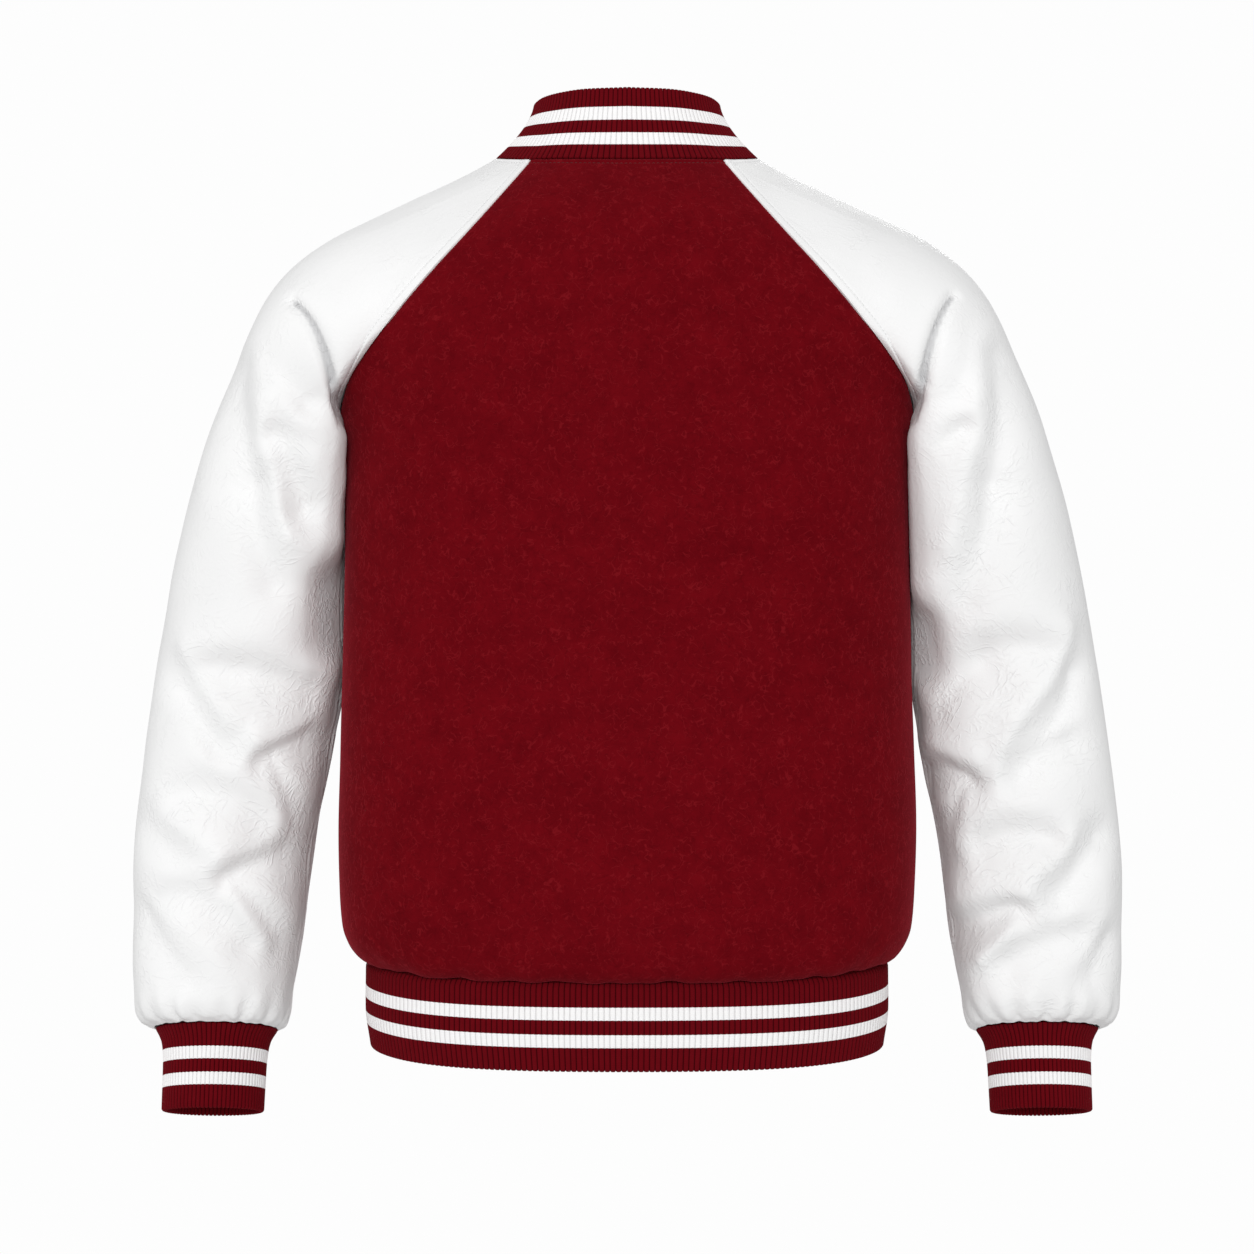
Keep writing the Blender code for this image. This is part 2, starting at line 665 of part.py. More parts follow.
def collar_half(neckline, ribs):
    """Outer grid of one half of the collar, from the middle of the back to its front end."""
    middle = BACK_HALF_COLUMNS
    front = neckline["front"]
    before = front[front[:, 0] > COLLAR_END_X][::-1]
    after = front[front[:, 0] <= COLLAR_END_X][::-1]
    share = (before[-1, 0] - COLLAR_END_X) / (before[-1, 0] - after[0, 0])
    end = before[-1] + (after[0] - before[-1]) * share
    path = np.concatenate(
        (neckline["back"][middle:], neckline["sleeve"][1:], before[1:], end[None])
    )
    fractions = np.linspace(0.0, 1.0, 2 * ribs + 1)
    base = along_polyline(path, fractions)
    spots = column(COLLAR_TOP, COLLAR_COLUMNS, "along")
    top = np.stack(
        [smooth(spots, column(COLLAR_TOP, COLLAR_COLUMNS, k), fractions) for k in "xyz"], axis=1
    )
    along = distance_along(base)
    left = along[-1] - along
    short = np.clip(COLLAR_END_ROUNDING - left, 0.0, COLLAR_END_ROUNDING)
    cut = COLLAR_END_ROUNDING - np.sqrt(COLLAR_END_ROUNDING**2 - short**2)
    full = np.linalg.norm(top - base, axis=1)
    top = base + (top - base) * (1.0 - cut / full)[:, None]
    grid = []
    for level in COLLAR_LEVELS:
        inward = 1.0 - (1.0 - level) ** COLLAR_FLARE_POWER
        flat = base + (top - base) * inward
        flat[:, 2] = base[:, 2] + (top[:, 2] - base[:, 2]) * level
        grid.append(flat)
    grid = np.array(grid)
    up = unit(grid[1] - grid[0])
    grid[0] += up * SEAM_GAP * 1.2
    return grid


def ribbed(grid, normals, height, wrap):
    """Raise every other column of a grid into ribs."""
    count = grid.shape[1]
    crest = np.arange(count) % 2 == 1
    if not wrap:
        crest[0] = crest[-1] = False
    return grid + normals * (crest * height)[None, :, None]


def collar_solid(neckline, knit):
    """The stand collar, open in front, ribbed outside and plain inside."""
    left = collar_half(
        {"back": neckline["back"], "sleeve": neckline["sleeve"], "front": neckline["front_left"]},
        COLLAR_RIBS_PER_SIDE,
    )
    right = collar_half(
        {
            "back": neckline["back"],
            "sleeve": neckline["sleeve"],
            "front": mirrored(neckline["front_right"]),
        },
        COLLAR_RIBS_PER_SIDE,
    )
    grid = np.concatenate((mirrored(right)[:, ::-1], left[:, 1:]), axis=1)
    normals = grid_normals(grid, False)
    normals *= np.sign(normals[1, 2 * COLLAR_RIBS_PER_SIDE, 1])
    flat = normals.copy()
    flat[..., 2] *= 0.4
    flat[0, :, 2] = 0.0
    flat = unit(flat)
    inner = grid - flat * RIB_WALL
    outer = ribbed(grid, flat, RIB_HEIGHT, False)
    keep = slice(None, None, 4)
    return wall_solid("collar", outer, inner[:, keep], False, knit)


def hem_band_solid(knit):
    """The hem band, open in front, its left end over its right end."""
    heights = column(BAND_ROWS, BAND_COLUMNS, "height")
    widths = column(BAND_ROWS, BAND_COLUMNS, "half_width")
    backs = column(BAND_ROWS, BAND_COLUMNS, "back_depth")
    fronts = column(BAND_ROWS, BAND_COLUMNS, "front_depth")
    fine = np.linspace(0.0, 2.0 * math.pi, 4001)
    grids = []
    for height, width, back, front in zip(heights, widths, backs, fronts):
        sine = np.sin(fine)
        cosine = np.cos(fine)
        x = -np.sign(sine) * np.abs(sine) ** (2.0 / BODY_POWER) * width
        depth = np.where(cosine > 0.0, front, back)
        y = -np.sign(cosine) * np.abs(cosine) ** (2.0 / BODY_POWER) * depth
        start = np.array((STAND_HALF_WIDTH, -front, height))
        ring = np.stack((x, y, np.full_like(x, height)), axis=1)
        path = np.concatenate((start[None], ring, start[None] * (-1.0, 1.0, 1.0)))
        grids.append(along_polyline(path, np.linspace(0.0, 1.0, 4 * BAND_RIBS_PER_SIDE + 1)))
    grid = np.array(grids)
    count = grid.shape[1]
    normals = grid_normals(grid, False)
    normals *= np.sign(normals[0, count // 2, 1])
    normals[..., 2] *= 0.3
    normals = unit(normals)
    inner = grid - normals * RIB_WALL
    outer = ribbed(grid, normals, RIB_HEIGHT, False)
    late = np.arange(count) > count // 2
    for rows in (outer, inner):
        rows[:, late] = lift_left(rows[:, late], BAND_LIFT)
    return wall_solid("hem_band", outer, inner[:, ::8], False, knit)


def cuff_solid(name, side, knit):
    """A cuff: a ribbed ring that tilts back at its end."""
    down = np.array((0.0, math.sin(CUFF_TILT), -math.cos(CUFF_TILT)))
    across = np.array((0.0, math.cos(CUFF_TILT), math.sin(CUFF_TILT)))
    sideways = np.array((1.0, 0.0, 0.0))
    turn = np.linspace(0.0, 2.0 * math.pi, 2 * CUFF_RIBS, endpoint=False)
    grid = []
    for below, centre_x, half_width, half_depth in CUFF_ROWS:
        centre = np.array((centre_x, 0.0, CUFF_SEAM_HEIGHT)) + down * below
        grid.append(
            centre
            + np.cos(turn)[:, None] * half_width * sideways
            + np.sin(turn)[:, None] * half_depth * across
        )
    grid = np.array(grid)
    normals = grid_normals(grid, True)
    normals *= outward_sign(grid, normals)
    normals = unit(normals - (normals @ down)[..., None] * down)
    inner = grid - normals * RIB_WALL
    outer = ribbed(grid, normals, RIB_HEIGHT, True)
    if side < 0:
        outer, inner = mirrored(outer), mirrored(inner)
    return wall_solid(name, outer, inner[:, ::4], True, knit)


def snap_solid(name, height, metal):
    """A domed snap cap that lies on the front."""
    if height < BAND_ROWS[0][0]:
        heights = column(BAND_ROWS, BAND_COLUMNS, "height")[::-1]
        fronts = column(BAND_ROWS, BAND_COLUMNS, "front_depth")[::-1]
        surface = -float(smooth(heights, fronts, height)) - BAND_LIFT - RIB_HEIGHT
        tilt = 0.0
    else:
        low = -float(body_depth(-1, 0.0, height - 10.0))
        high = -float(body_depth(-1, 0.0, height + 10.0))
        surface = -(low + high) * 0.5 - STAND_LIFT
        tilt = math.atan2(low - high, 20.0)
    out = np.array((0.0, -math.cos(tilt), math.sin(tilt)))
    up = np.array((0.0, math.sin(tilt), math.cos(tilt)))
    sideways = np.array((1.0, 0.0, 0.0))
    centre = np.array((0.0, surface, height)) + out * SNAP_CLEARANCE
    turn = np.linspace(0.0, 2.0 * math.pi, SNAP_SIDES, endpoint=False)
    circle = np.cos(turn)[:, None] * sideways + np.sin(turn)[:, None] * up
    profile = ((1.0, 0.0), (1.0, 0.45), (0.86, 0.8), (0.5, 1.0))
    rings = [centre + circle * SNAP_RADIUS * r + out * SNAP_HEIGHT * h for r, h in profile]
    vertices = np.concatenate(rings)
    faces = []
    for k in range(len(profile) - 1):
        for i in range(SNAP_SIDES):
            j = (i + 1) % SNAP_SIDES
            low_row = k * SNAP_SIDES
            high_row = low_row + SNAP_SIDES
            faces.append((low_row + i, low_row + j, high_row + j, high_row + i))
    faces.append(tuple(range(SNAP_SIDES)))
    faces.append(tuple(range((len(profile) - 1) * SNAP_SIDES, len(profile) * SNAP_SIDES)))
    return make_object(name, vertices, faces, metal)


def make_material(name):
    """A plain surface from the table of materials."""
    colour, roughness, metallic = MATERIALS[name]
    material = bpy.data.materials.new(name)
    material.use_nodes = True
    shader = material.node_tree.nodes["Principled BSDF"]
    shader.inputs["Base Color"].default_value = colour
    shader.inputs["Roughness"].default_value = roughness
    shader.inputs["Metallic"].default_value = metallic
    material.diffuse_color = colour
    return material


def main():
    """Clear the scene and build every piece of the jacket."""
    for old in list(bpy.data.objects):
        bpy.data.objects.remove(old, do_unlink=True)
    materials = {name: make_material(name) for name in MATERIALS}
    _, neckline = body_solids(materials["wool"], materials["leather"])
    collar_solid(neckline, materials["rib_knit"])
    hem_band_solid(materials["rib_knit"])
    cuff_solid("cuff_left", 1, materials["rib_knit"])
    cuff_solid("cuff_right", -1, materials["rib_knit"])
    for number, height in enumerate(SNAP_HEIGHTS, start=1):
        snap_solid("snap_" + str(number), height, materials["snap_metal"])


main()
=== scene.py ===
"""Varsity jacket, dressed: felted wool body, white leather raglan sleeves, striped rib knit.

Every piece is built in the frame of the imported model. Tables are in millimetres, with X to the
wearer's left, Y to the wearer's back and Z up from the middle of the neck opening.
"""

import math

import bmesh
import bpy
import numpy as np
from bpy.props import FloatProperty, FloatVectorProperty, IntProperty, PointerProperty
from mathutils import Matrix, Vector


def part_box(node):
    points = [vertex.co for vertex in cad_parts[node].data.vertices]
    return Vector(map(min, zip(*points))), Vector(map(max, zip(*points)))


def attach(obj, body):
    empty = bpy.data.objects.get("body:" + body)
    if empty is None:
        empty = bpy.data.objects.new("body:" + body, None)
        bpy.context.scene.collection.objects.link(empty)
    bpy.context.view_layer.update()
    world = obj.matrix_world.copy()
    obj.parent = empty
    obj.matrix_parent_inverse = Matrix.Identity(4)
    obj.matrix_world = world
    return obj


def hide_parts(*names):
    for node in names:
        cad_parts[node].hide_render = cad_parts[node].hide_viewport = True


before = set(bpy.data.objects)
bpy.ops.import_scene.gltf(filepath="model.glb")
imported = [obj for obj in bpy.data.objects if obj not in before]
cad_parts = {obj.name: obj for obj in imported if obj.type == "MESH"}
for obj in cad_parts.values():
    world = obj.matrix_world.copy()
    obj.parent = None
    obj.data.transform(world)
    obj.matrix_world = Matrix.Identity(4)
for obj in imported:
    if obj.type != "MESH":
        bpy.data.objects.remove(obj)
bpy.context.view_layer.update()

bl_info = {
    "name": "Varsity Jacket",
    "version": (1, 0, 0),
    "blender": (4, 5, 0),
    "location": "3D View > Sidebar > Jacket",
    "description": "Builds a filled-out varsity jacket with leather sleeves and striped rib knit",
    "category": "Add Mesh",
}

MM = 0.001
STORE = {}  # what is worked out once for several steps
SIDES = (("left", False), ("right", True))  # side, and whether it is built mirrored

# ---------------------------------------------------------------- shape tables

BODY_POWER = 2.4
HEM_HEIGHT = -600.5
BODY_ROWS = np.array((  # height, half width, depth to the back, depth to the front
    (HEM_HEIGHT, 194.4, 119.5, 118.5),
    (-597.0, 200.5, 125.5, 121.0),
    (-588.0, 207.0, 131.0, 124.0),
    (-572.0, 211.0, 134.0, 126.5),
    (-545.0, 213.2, 135.5, 128.0),
    (-500.0, 214.2, 134.5, 127.0),
    (-440.0, 212.6, 131.5, 124.5),
    (-370.0, 210.6, 128.0, 122.0),
    (-300.0, 210.2, 126.5, 121.5),
    (-245.0, 210.8, 127.0, 121.0),
    (-210.5, 211.5, 128.0, 119.0),
    (-170.0, 213.0, 128.0, 112.5),
    (-130.0, 210.0, 124.0, 102.5),
    (-90.0, 180.0, 115.5, 85.5),
    (-60.0, 150.0, 103.5, 74.0),
    (-35.0, 120.0, 88.0, 63.0),
    (-12.0, 95.0, 69.5, 58.0),
    (0.0, 80.0, 60.0, 55.0),
))
BACK_SEAM = np.array((
    (211.5, 0.0, -210.5), (211.6, 19.0, -206.5), (210.2, 34.0, -195.5), (206.0, 49.0, -181.2),
    (201.0, 61.0, -171.3), (186.1, 79.0, -151.4), (169.2, 88.0, -130.9), (151.9, 90.0, -109.7),
    (133.4, 88.5, -88.1), (114.1, 83.0, -65.9), (95.3, 73.0, -43.0), (77.1, 58.0, -19.3),
    (70.1, 50.0, -9.3),
))
FRONT_SEAM = np.array((
    (211.5, 0.0, -210.5), (211.6, -19.0, -206.5), (210.2, -34.0, -195.5),
    (202.5, -52.0, -175.0), (188.0, -65.0, -153.0), (170.0, -73.0, -130.0),
    (149.0, -74.5, -106.0), (126.0, -70.0, -83.0), (102.0, -60.5, -61.0),
    (85.0, -52.0, -45.0), (76.0, -46.0, -36.5),
))
NECK_EDGE = np.array((
    (70.1, 50.0, -9.3), (86.2, 31.0, -5.8), (96.4, 7.0, -2.2),
    (95.6, -15.0, -6.8), (87.8, -33.0, -20.0), (76.0, -46.0, -36.5),
))
NECK_HEIGHT = {1: -12.0, -1: -80.0}
NECK_DIP_POWER = 1.9
STAND_HALF_WIDTH = 14.0
STAND_LIFT = 3.2
BAND_LIFT = 4.2
LIFT_FADE = 34.0
HEM_SIDE_RISE = 4.5
HEM_RISE_REACH = 40.0
# Spacing of the rows up a panel's side, by the distance from the hem, and of its first columns.
PANEL_STEPS = (
    (0.0, 0.7), (6.0, 1.2), (20.0, 2.2), (60.0, 3.6), (300.0, 4.2), (372.0, 2.6), (390.0, 1.6),
)
BACK_COLUMNS = 62  # in each half, besides those near its edge
FRONT_COLUMNS = 48
EDGE_STEPS = (0.0, 0.4, 0.8, 1.3, 1.9, 2.7, 3.8, 5.3, 7.2, 9.6)
NECK_ROWS = 60  # rows of a panel that its neck seam shapes
NECK_STITCH = 5.0  # from the neck seam to its stitches
EDGE_STITCH = 6.5  # from the front edge to its stitches

SLEEVE_POWER = 2.15
SLEEVE_ROWS = np.array((  # outer x, z, inner x, z, half depth, middle, rise
    (96.4, -2.2, 211.5, -210.5, 94.0, 0.0, 0.00),
    (129.0, -19.4, 212.5, -214.0, 93.0, 0.0, 0.00),
    (161.2, -34.2, 213.4, -219.0, 91.0, 0.0, 0.00),
    (193.0, -48.9, 214.0, -225.0, 90.0, 0.0, 0.00),
    (223.3, -64.5, 214.5, -232.0, 88.5, -1.0, 0.00),
    (247.8, -82.9, 214.8, -241.0, 87.0, -2.0, 0.00),
    (265.4, -103.8, 215.0, -252.0, 86.0, -3.0, 0.00),
    (281.5, -133.0, 215.2, -266.0, 85.0, -4.5, 0.00),
    (296.5, -167.0, 215.3, -284.0, 83.0, -6.0, 0.00),
    (309.5, -200.0, 215.2, -305.0, 81.0, -7.5, 0.00),
    (320.0, -233.0, 215.0, -328.0, 79.0, -9.0, 0.00),
    (329.5, -268.0, 214.8, -352.0, 77.0, -10.5, 0.00),
    (338.0, -305.0, 214.6, -378.0, 75.5, -12.0, 0.00),
    (345.5, -347.0, 214.6, -404.0, 74.0, -12.5, 0.02),
    (352.5, -390.0, 216.0, -430.0, 72.5, -12.0, 0.03),
    (358.0, -428.0, 222.0, -457.0, 71.0, -11.0, 0.05),
    (362.5, -466.0, 229.0, -485.0, 69.5, -9.0, 0.08),
    (366.5, -504.0, 234.0, -514.0, 67.5, -7.0, 0.11),
    (368.0, -540.0, 237.5, -545.0, 65.5, -5.0, 0.14),
    (368.0, -572.0, 241.0, -575.0, 63.0, -3.5, 0.17),
    (367.5, -600.0, 246.0, -602.0, 60.0, -2.0, 0.20),
    (366.0, -622.0, 250.0, -623.0, 57.5, -1.0, 0.23),
    (365.0, -637.5, 251.5, -638.0, 54.5, 0.0, 0.25),
    (361.0, -647.0, 254.5, -647.5, 50.5, 0.0, 0.265),
    (351.5, -651.7, 260.5, -651.7, 44.0, 0.0, 0.268),
))
LAST_STATION = len(SLEEVE_ROWS) - 1.0
# Spacing of the rings down a sleeve, in stations of its table.
SLEEVE_STEPS = (
    (0.0, 0.018), (0.22, 0.022), (0.5, 0.06), (1.2, 0.10), (4.0, 0.12), (20.0, 0.115),
    (22.5, 0.10), (24.0, 0.07),
)
SEAM_FADE_STATIONS = 7.0
SEAM_ROWS = 110  # rings of a sleeve that its seams shape
HOLD_ROWS = 150  # rings of a sleeve that its seams keep from folding
PRESS_GAP = 1.2  # how near a sleeve comes to the body
SEAM_EDGE_TURN = math.radians(148.0)

COLLAR_TOP = np.array((  # along, x, y, z
    (0.00, 0.0, 55.0, 41.9), (0.13, 29.0, 51.0, 41.5), (0.27, 54.0, 36.0, 40.3),
    (0.36, 64.0, 21.0, 39.4), (0.44, 68.6, 6.0, 37.4), (0.56, 66.0, -14.0, 32.0),
    (0.70, 53.0, -36.0, 14.0), (0.85, 31.0, -54.0, -14.0), (1.00, 2.0, -62.0, -40.0),
))
COLLAR_FLARE_POWER = 1.6
COLLAR_END_X = 1.6
COLLAR_END_ROUNDING = 14.0
BAND_ROWS = np.array((  # height, half width, depth to the back, depth to the front
    (-600.9, 193.0, 118.5, 117.5), (-634.0, 193.2, 119.0, 118.0), (-662.8, 189.5, 116.5, 115.5),
))
CUFF_ROWS = np.array((  # below the seam, centre x, half width, half depth
    (0.4, 305.6, 44.9, 42.6), (4.0, 305.7, 42.4, 40.2), (9.0, 305.8, 39.8, 37.6),
    (16.0, 305.9, 38.3, 36.2), (24.0, 306.0, 37.6, 35.5), (60.4, 306.3, 36.9, 34.0),
))
CUFF_RAISE = 2.2
CUFF_RAISE_TOP = -590.0
CUFF_RAISE_REACH = 55.0
CUFF_TILT = math.radians(15.0)
CUFF_SEAM_HEIGHT = -651.7
SNAP_HEIGHTS = (-96.0, -187.0, -278.0, -369.0, -460.0, -551.0, -630.0)
SNAP_PROFILE = (  # share of the radius, share of the rise
    (0.97, 0.0), (1.0, 0.12), (1.0, 0.34), (0.975, 0.47), (0.93, 0.55), (0.87, 0.56), (0.82, 0.50),
    (0.78, 0.52), (0.70, 0.70), (0.56, 0.86), (0.38, 0.96), (0.18, 1.0),
)
SNAP_SINK = 1.2
SNAP_RISE = 2.4

# Ribs round each piece, and where its white stripes run, as shares of its height from the seam.
COLLAR_RIBS = 138
BAND_RIBS = 262
CUFF_RIBS = 74
COLLAR_STRIPES = (0.192, 0.362, 0.545, 0.730)
BAND_STRIPES = (0.269, 0.415, 0.581, 0.729)
CUFF_STRIPES = (0.268, 0.418, 0.580, 0.729)
SEAM_LEVELS = (0.0, 0.012, 0.03, 0.055)  # levels of the rows beside the seam
COLLAR_SEAM_LEVELS = (0.004, 0.02, 0.05)
COLLAR_HEIGHT, COLLAR_KNIT_HEIGHT = 44.0, 45.0  # to the rim, and of the knitted pattern
BAND_HEIGHT, BAND_KNIT_HEIGHT = 61.9, 62.0
CUFF_HEIGHT = 60.0

# ---------------------------------------------------------------- fold tables
# Each fold runs along a bent line, x0, z0, the bend x, z, the end x, z. Then come its half widths
# on its upper (or, where it runs upright, outer) side and its lower side, how those are scaled
# at its start and its end, and its depth at its start and its end, below 0 for a ridge. A short
# row gives one half width for both sides and both ends.


def fold_table(*rows):
    """A table of folds, its short rows written out in full."""
    return [row if len(row) == 12 else (*row[:7], row[6], 1.0, 1.0, *row[7:]) for row in rows]


LEFT_BACK_FOLDS = fold_table(
    (242, -113, 221, -127, 210, -176, 2.8, 3.2, 0.7, 1.0, 3.0, 3.6),
    (210, -176, 208, -187, 205, -202, 3.2, 4.4, 1.0, 1.0, 2.6, 1.4),
    (259, -153, 246, -165, 230, -184, 9.0, 8.0, 1.0, 1.0, 1.6, 2.6),
    (287, -160, 288, -200, 274, -246, 9.0, 15.0, 0.8, 1.0, 2.8, 5.2),
    (274, -246, 269, -272, 256, -316, 9.0, 15.0, 1.0, 0.9, 5.2, 2.8),
    (250, -210, 242, -236, 232, -262, 9.0, 14.0, 0.8, 1.0, 2.4, 5.0),
    (256, -208, 240, -210, 219, -218, 6.5, 13.0, 0.8, 1.0, 3.4, 0.8),
    (264, -188, 262, -240, 243, -282, 7.0, -1.6, -1.8),
    (305, -373, 273, -372, 227, -391, 9.0, 25.0, 0.7, 1.1, 4.2, 6.0),
    (325, -390, 314, -406, 300, -425, 18.0, 7.0, 0.8, 1.0, 3.4, 3.6),
    (321, -366, 311, -394, 289, -420, 7.0, -2.2, -2.0),
    (262, -440, 246, -436, 222, -427, 7.0, 20.0, 0.6, 1.0, 5.5, 5.0),
    (256, -446, 243, -474, 238, -500, 7.0, 16.0, 0.8, 1.0, 4.6, 3.0),
    (270, -432, 254, -460, 250, -490, 7.0, -1.8, -1.6),
    (328, -465, 298, -455, 264, -480, 10.0, 17.0, 0.8, 1.0, 3.0, 3.6),
    (348, -493, 340, -500, 330, -507, 12.0, 9.0, 1.0, 1.0, 2.0, 2.4),
    (335, -480, 322, -503, 295, -515, 8.0, -1.6, -1.8),
    (291, -526, 272, -519, 246, -512, 7.0, 18.0, 0.6, 1.1, 6.0, 4.6),
    (286, -532, 257, -556, 251, -580, 7.0, 16.0, 0.7, 1.0, 4.6, 3.0),
    (296, -525, 278, -552, 263, -578, 6.5, -2.2, -1.6),
    (341, -541, 313, -533, 294, -550, 9.0, 15.0, 0.8, 1.0, 2.6, 3.0),
    (298, -547, 286, -560, 273, -575, 9.0, 13.0, 1.0, 1.0, 2.6, 3.2),
    (353, -556, 341, -578, 321, -596, 10.0, 14.0, 0.9, 1.0, 3.0, 2.4),
    (350, -548, 335, -571, 315, -594, 8.0, -1.0, -0.9),
)
RIGHT_BACK_FOLDS = fold_table(
    (236, -110, 220, -127, 211, -174, 2.8, 3.2, 0.7, 1.0, 3.0, 3.6),
    (211, -174, 208, -186, 205, -201, 3.2, 4.4, 1.0, 1.0, 2.6, 1.4),
    (248, -131, 249, -154, 237, -178, 9.0, 8.0, 1.0, 1.0, 0.8, 1.4),
    (272, -154, 278, -194, 266, -247, 9.0, 15.0, 0.8, 1.0, 2.8, 5.4),
    (266, -247, 261, -280, 243, -326, 9.0, 15.0, 1.0, 1.0, 5.4, 3.0),
    (242, -204, 231, -209, 219, -222, 5.5, 15.0, 0.8, 1.0, 3.4, 0.8),
    (252, -184, 248, -244, 232, -290, 8.0, -1.4, -1.6),
    (308, -361, 282, -351, 257, -368, 9.0, 22.0, 0.7, 1.0, 3.4, 4.6),
    (257, -368, 241, -381, 222, -407, 9.0, 18.0, 1.0, 1.0, 4.6, 4.4),
    (320, -350, 322, -378, 283, -419, 7.0, 6.0, 1.0, 1.0, -2.0, -2.8),
    (283, -419, 273, -433, 270, -452, 6.0, -2.4, -1.4),
    (331, -380, 324, -404, 305, -421, 12.0, 6.0, 0.8, 1.0, 4.2, 3.4),
    (323, -428, 303, -430, 285, -448, 8.0, 13.0, 0.8, 1.0, 3.2, 4.0),
    (247, -456, 235, -452, 221, -450, 6.5, 20.0, 0.6, 1.0, 6.0, 5.0),
    (244, -460, 231, -487, 228, -514, 7.0, 16.0, 0.8, 1.0, 4.6, 3.2),
    (253, -450, 241, -480, 238, -506, 7.0, -1.8, -1.4),
    (308, -497, 284, -488, 256, -501, 8.0, 15.0, 0.8, 1.0, 3.6, 3.6),
    (346, -500, 333, -522, 315, -539, 9.0, 8.0, 0.9, 1.0, 4.2, 4.2),
    (320, -505, 306, -524, 289, -545, 7.0, -2.0, -1.6),
    (283, -549, 264, -553, 240, -565, 6.5, 15.0, 0.6, 1.0, 6.0, 5.0),
    (288, -547, 279, -570, 258, -592, 5.5, -2.6, -2.4),
    (330, -568, 303, -570, 277, -588, 8.0, 13.0, 0.8, 1.0, 3.0, 3.2),
    (353, -576, 348, -588, 341, -601, 8.0, 8.0, 0.9, 1.0, 2.8, 2.6),
    (343, -512, 352, -540, 345, -568, 8.0, -1.4, -1.4),
)
LEFT_FRONT_FOLDS = fold_table(
    (241, -112, 226, -132, 215, -176, 2.8, 3.8, 0.8, 1.0, 4.0, 4.8),
    (215, -176, 212, -187, 208, -200, 3.2, 4.8, 1.0, 1.0, 3.6, 1.6),
    (282, -176, 280, -214, 262, -262, 11.0, 8.5, 0.8, 1.0, 2.4, 4.4),
    (252, -214, 240, -222, 222, -236, 6.0, 18.0, 0.8, 1.0, 3.4, 3.0),
    (316, -340, 282, -334, 240, -352, 9.0, 24.0, 0.7, 1.1, 4.4, 6.0),
    (330, -352, 318, -372, 300, -392, 15.0, 7.0, 0.8, 1.0, 3.4, 3.4),
    (322, -342, 312, -366, 290, -388, 7.0, -2.0, -2.0),
    (320, -396, 292, -384, 246, -404, 8.0, 22.0, 0.7, 1.0, 5.0, 5.4),
    (322, -398, 306, -424, 284, -440, 7.0, -2.0, -1.8),
    (306, -452, 282, -444, 246, -458, 8.0, 19.0, 0.7, 1.0, 4.4, 4.8),
    (346, -470, 332, -486, 312, -500, 11.0, 8.0, 0.8, 1.0, 3.0, 3.2),
    (304, -454, 286, -482, 270, -504, 7.0, -1.8, -1.6),
    (330, -514, 300, -506, 262, -524, 8.0, 17.0, 0.7, 1.0, 4.0, 4.4),
    (332, -518, 312, -544, 286, -566, 7.0, -1.8, -1.8),
    (300, -572, 278, -566, 252, -572, 8.0, 13.0, 0.7, 1.0, 3.2, 3.2),
    (352, -560, 340, -582, 320, -600, 8.0, 7.0, 0.9, 1.0, 3.2, 3.0),
)
RIGHT_FRONT_FOLDS = fold_table(
    (241, -114, 229, -136, 219, -174, 2.8, 6.0, 0.8, 1.0, 4.2, 5.0),
    (219, -174, 216, -184, 213, -192, 3.0, 5.0, 1.0, 0.8, 4.4, 1.0),
    (276, -170, 277, -210, 258, -266, 11.0, 8.5, 0.8, 1.0, 2.4, 4.6),
    (246, -222, 234, -228, 218, -244, 6.0, 18.0, 0.8, 1.0, 3.4, 2.8),
    (310, -350, 280, -342, 238, -362, 9.0, 24.0, 0.7, 1.1, 4.4, 5.8),
    (328, -366, 316, -384, 298, -402, 14.0, 7.0, 0.8, 1.0, 3.6, 3.2),
    (318, -352, 308, -378, 286, -400, 7.0, -2.0, -2.0),
    (314, -410, 288, -400, 244, -414, 8.0, 21.0, 0.7, 1.0, 4.8, 5.2),
    (316, -412, 300, -438, 280, -456, 7.0, -2.0, -1.8),
    (338, -444, 312, -440, 282, -462, 8.0, 16.0, 0.8, 1.0, 3.2, 3.8),
    (286, -478, 262, -472, 236, -480, 7.0, 17.0, 0.7, 1.0, 4.4, 4.4),
    (346, -492, 334, -512, 314, -528, 10.0, 8.0, 0.8, 1.0, 3.4, 3.2),
    (316, -530, 288, -524, 252, -540, 8.0, 16.0, 0.7, 1.0, 4.2, 4.2),
    (318, -534, 302, -560, 280, -580, 7.0, -1.8, -1.8),
    (350, -566, 338, -586, 318, -602, 8.0, 7.0, 0.9, 1.0, 3.0, 2.8),
)
# Gathers of the wool above the hem band.
BACK_GATHERS = fold_table(
    (118, -604, 117, -592, 115, -574, 8.0, 2.2, 0.8),
    (49, -604, 48, -590, 50, -570, 8.5, 1.9, 0.7),
    (-28, -604, -29, -588, -27, -562, 9.0, 1.9, 0.6),
    (-79, -604, -80, -594, -78, -580, 6.5, 1.3, 0.5),
    (-134, -604, -132, -590, -128, -570, 8.0, 2.2, 0.8),
    (84, -604, 84, -596, 86, -586, 6.5, 1.1, 0.4),
    (155, -602, 164, -592, 174, -577, 6.0, 2.3, 0.9),
    (166, -603, 176, -596, 186, -585, 5.0, 1.8, 0.7),
    (-160, -602, -170, -592, -180, -575, 6.0, 2.3, 0.9),
    (-172, -603, -181, -595, -190, -583, 5.0, 1.7, 0.7),
    (12, -604, 11, -597, 12, -588, 6.5, 1.0, 0.4),
)
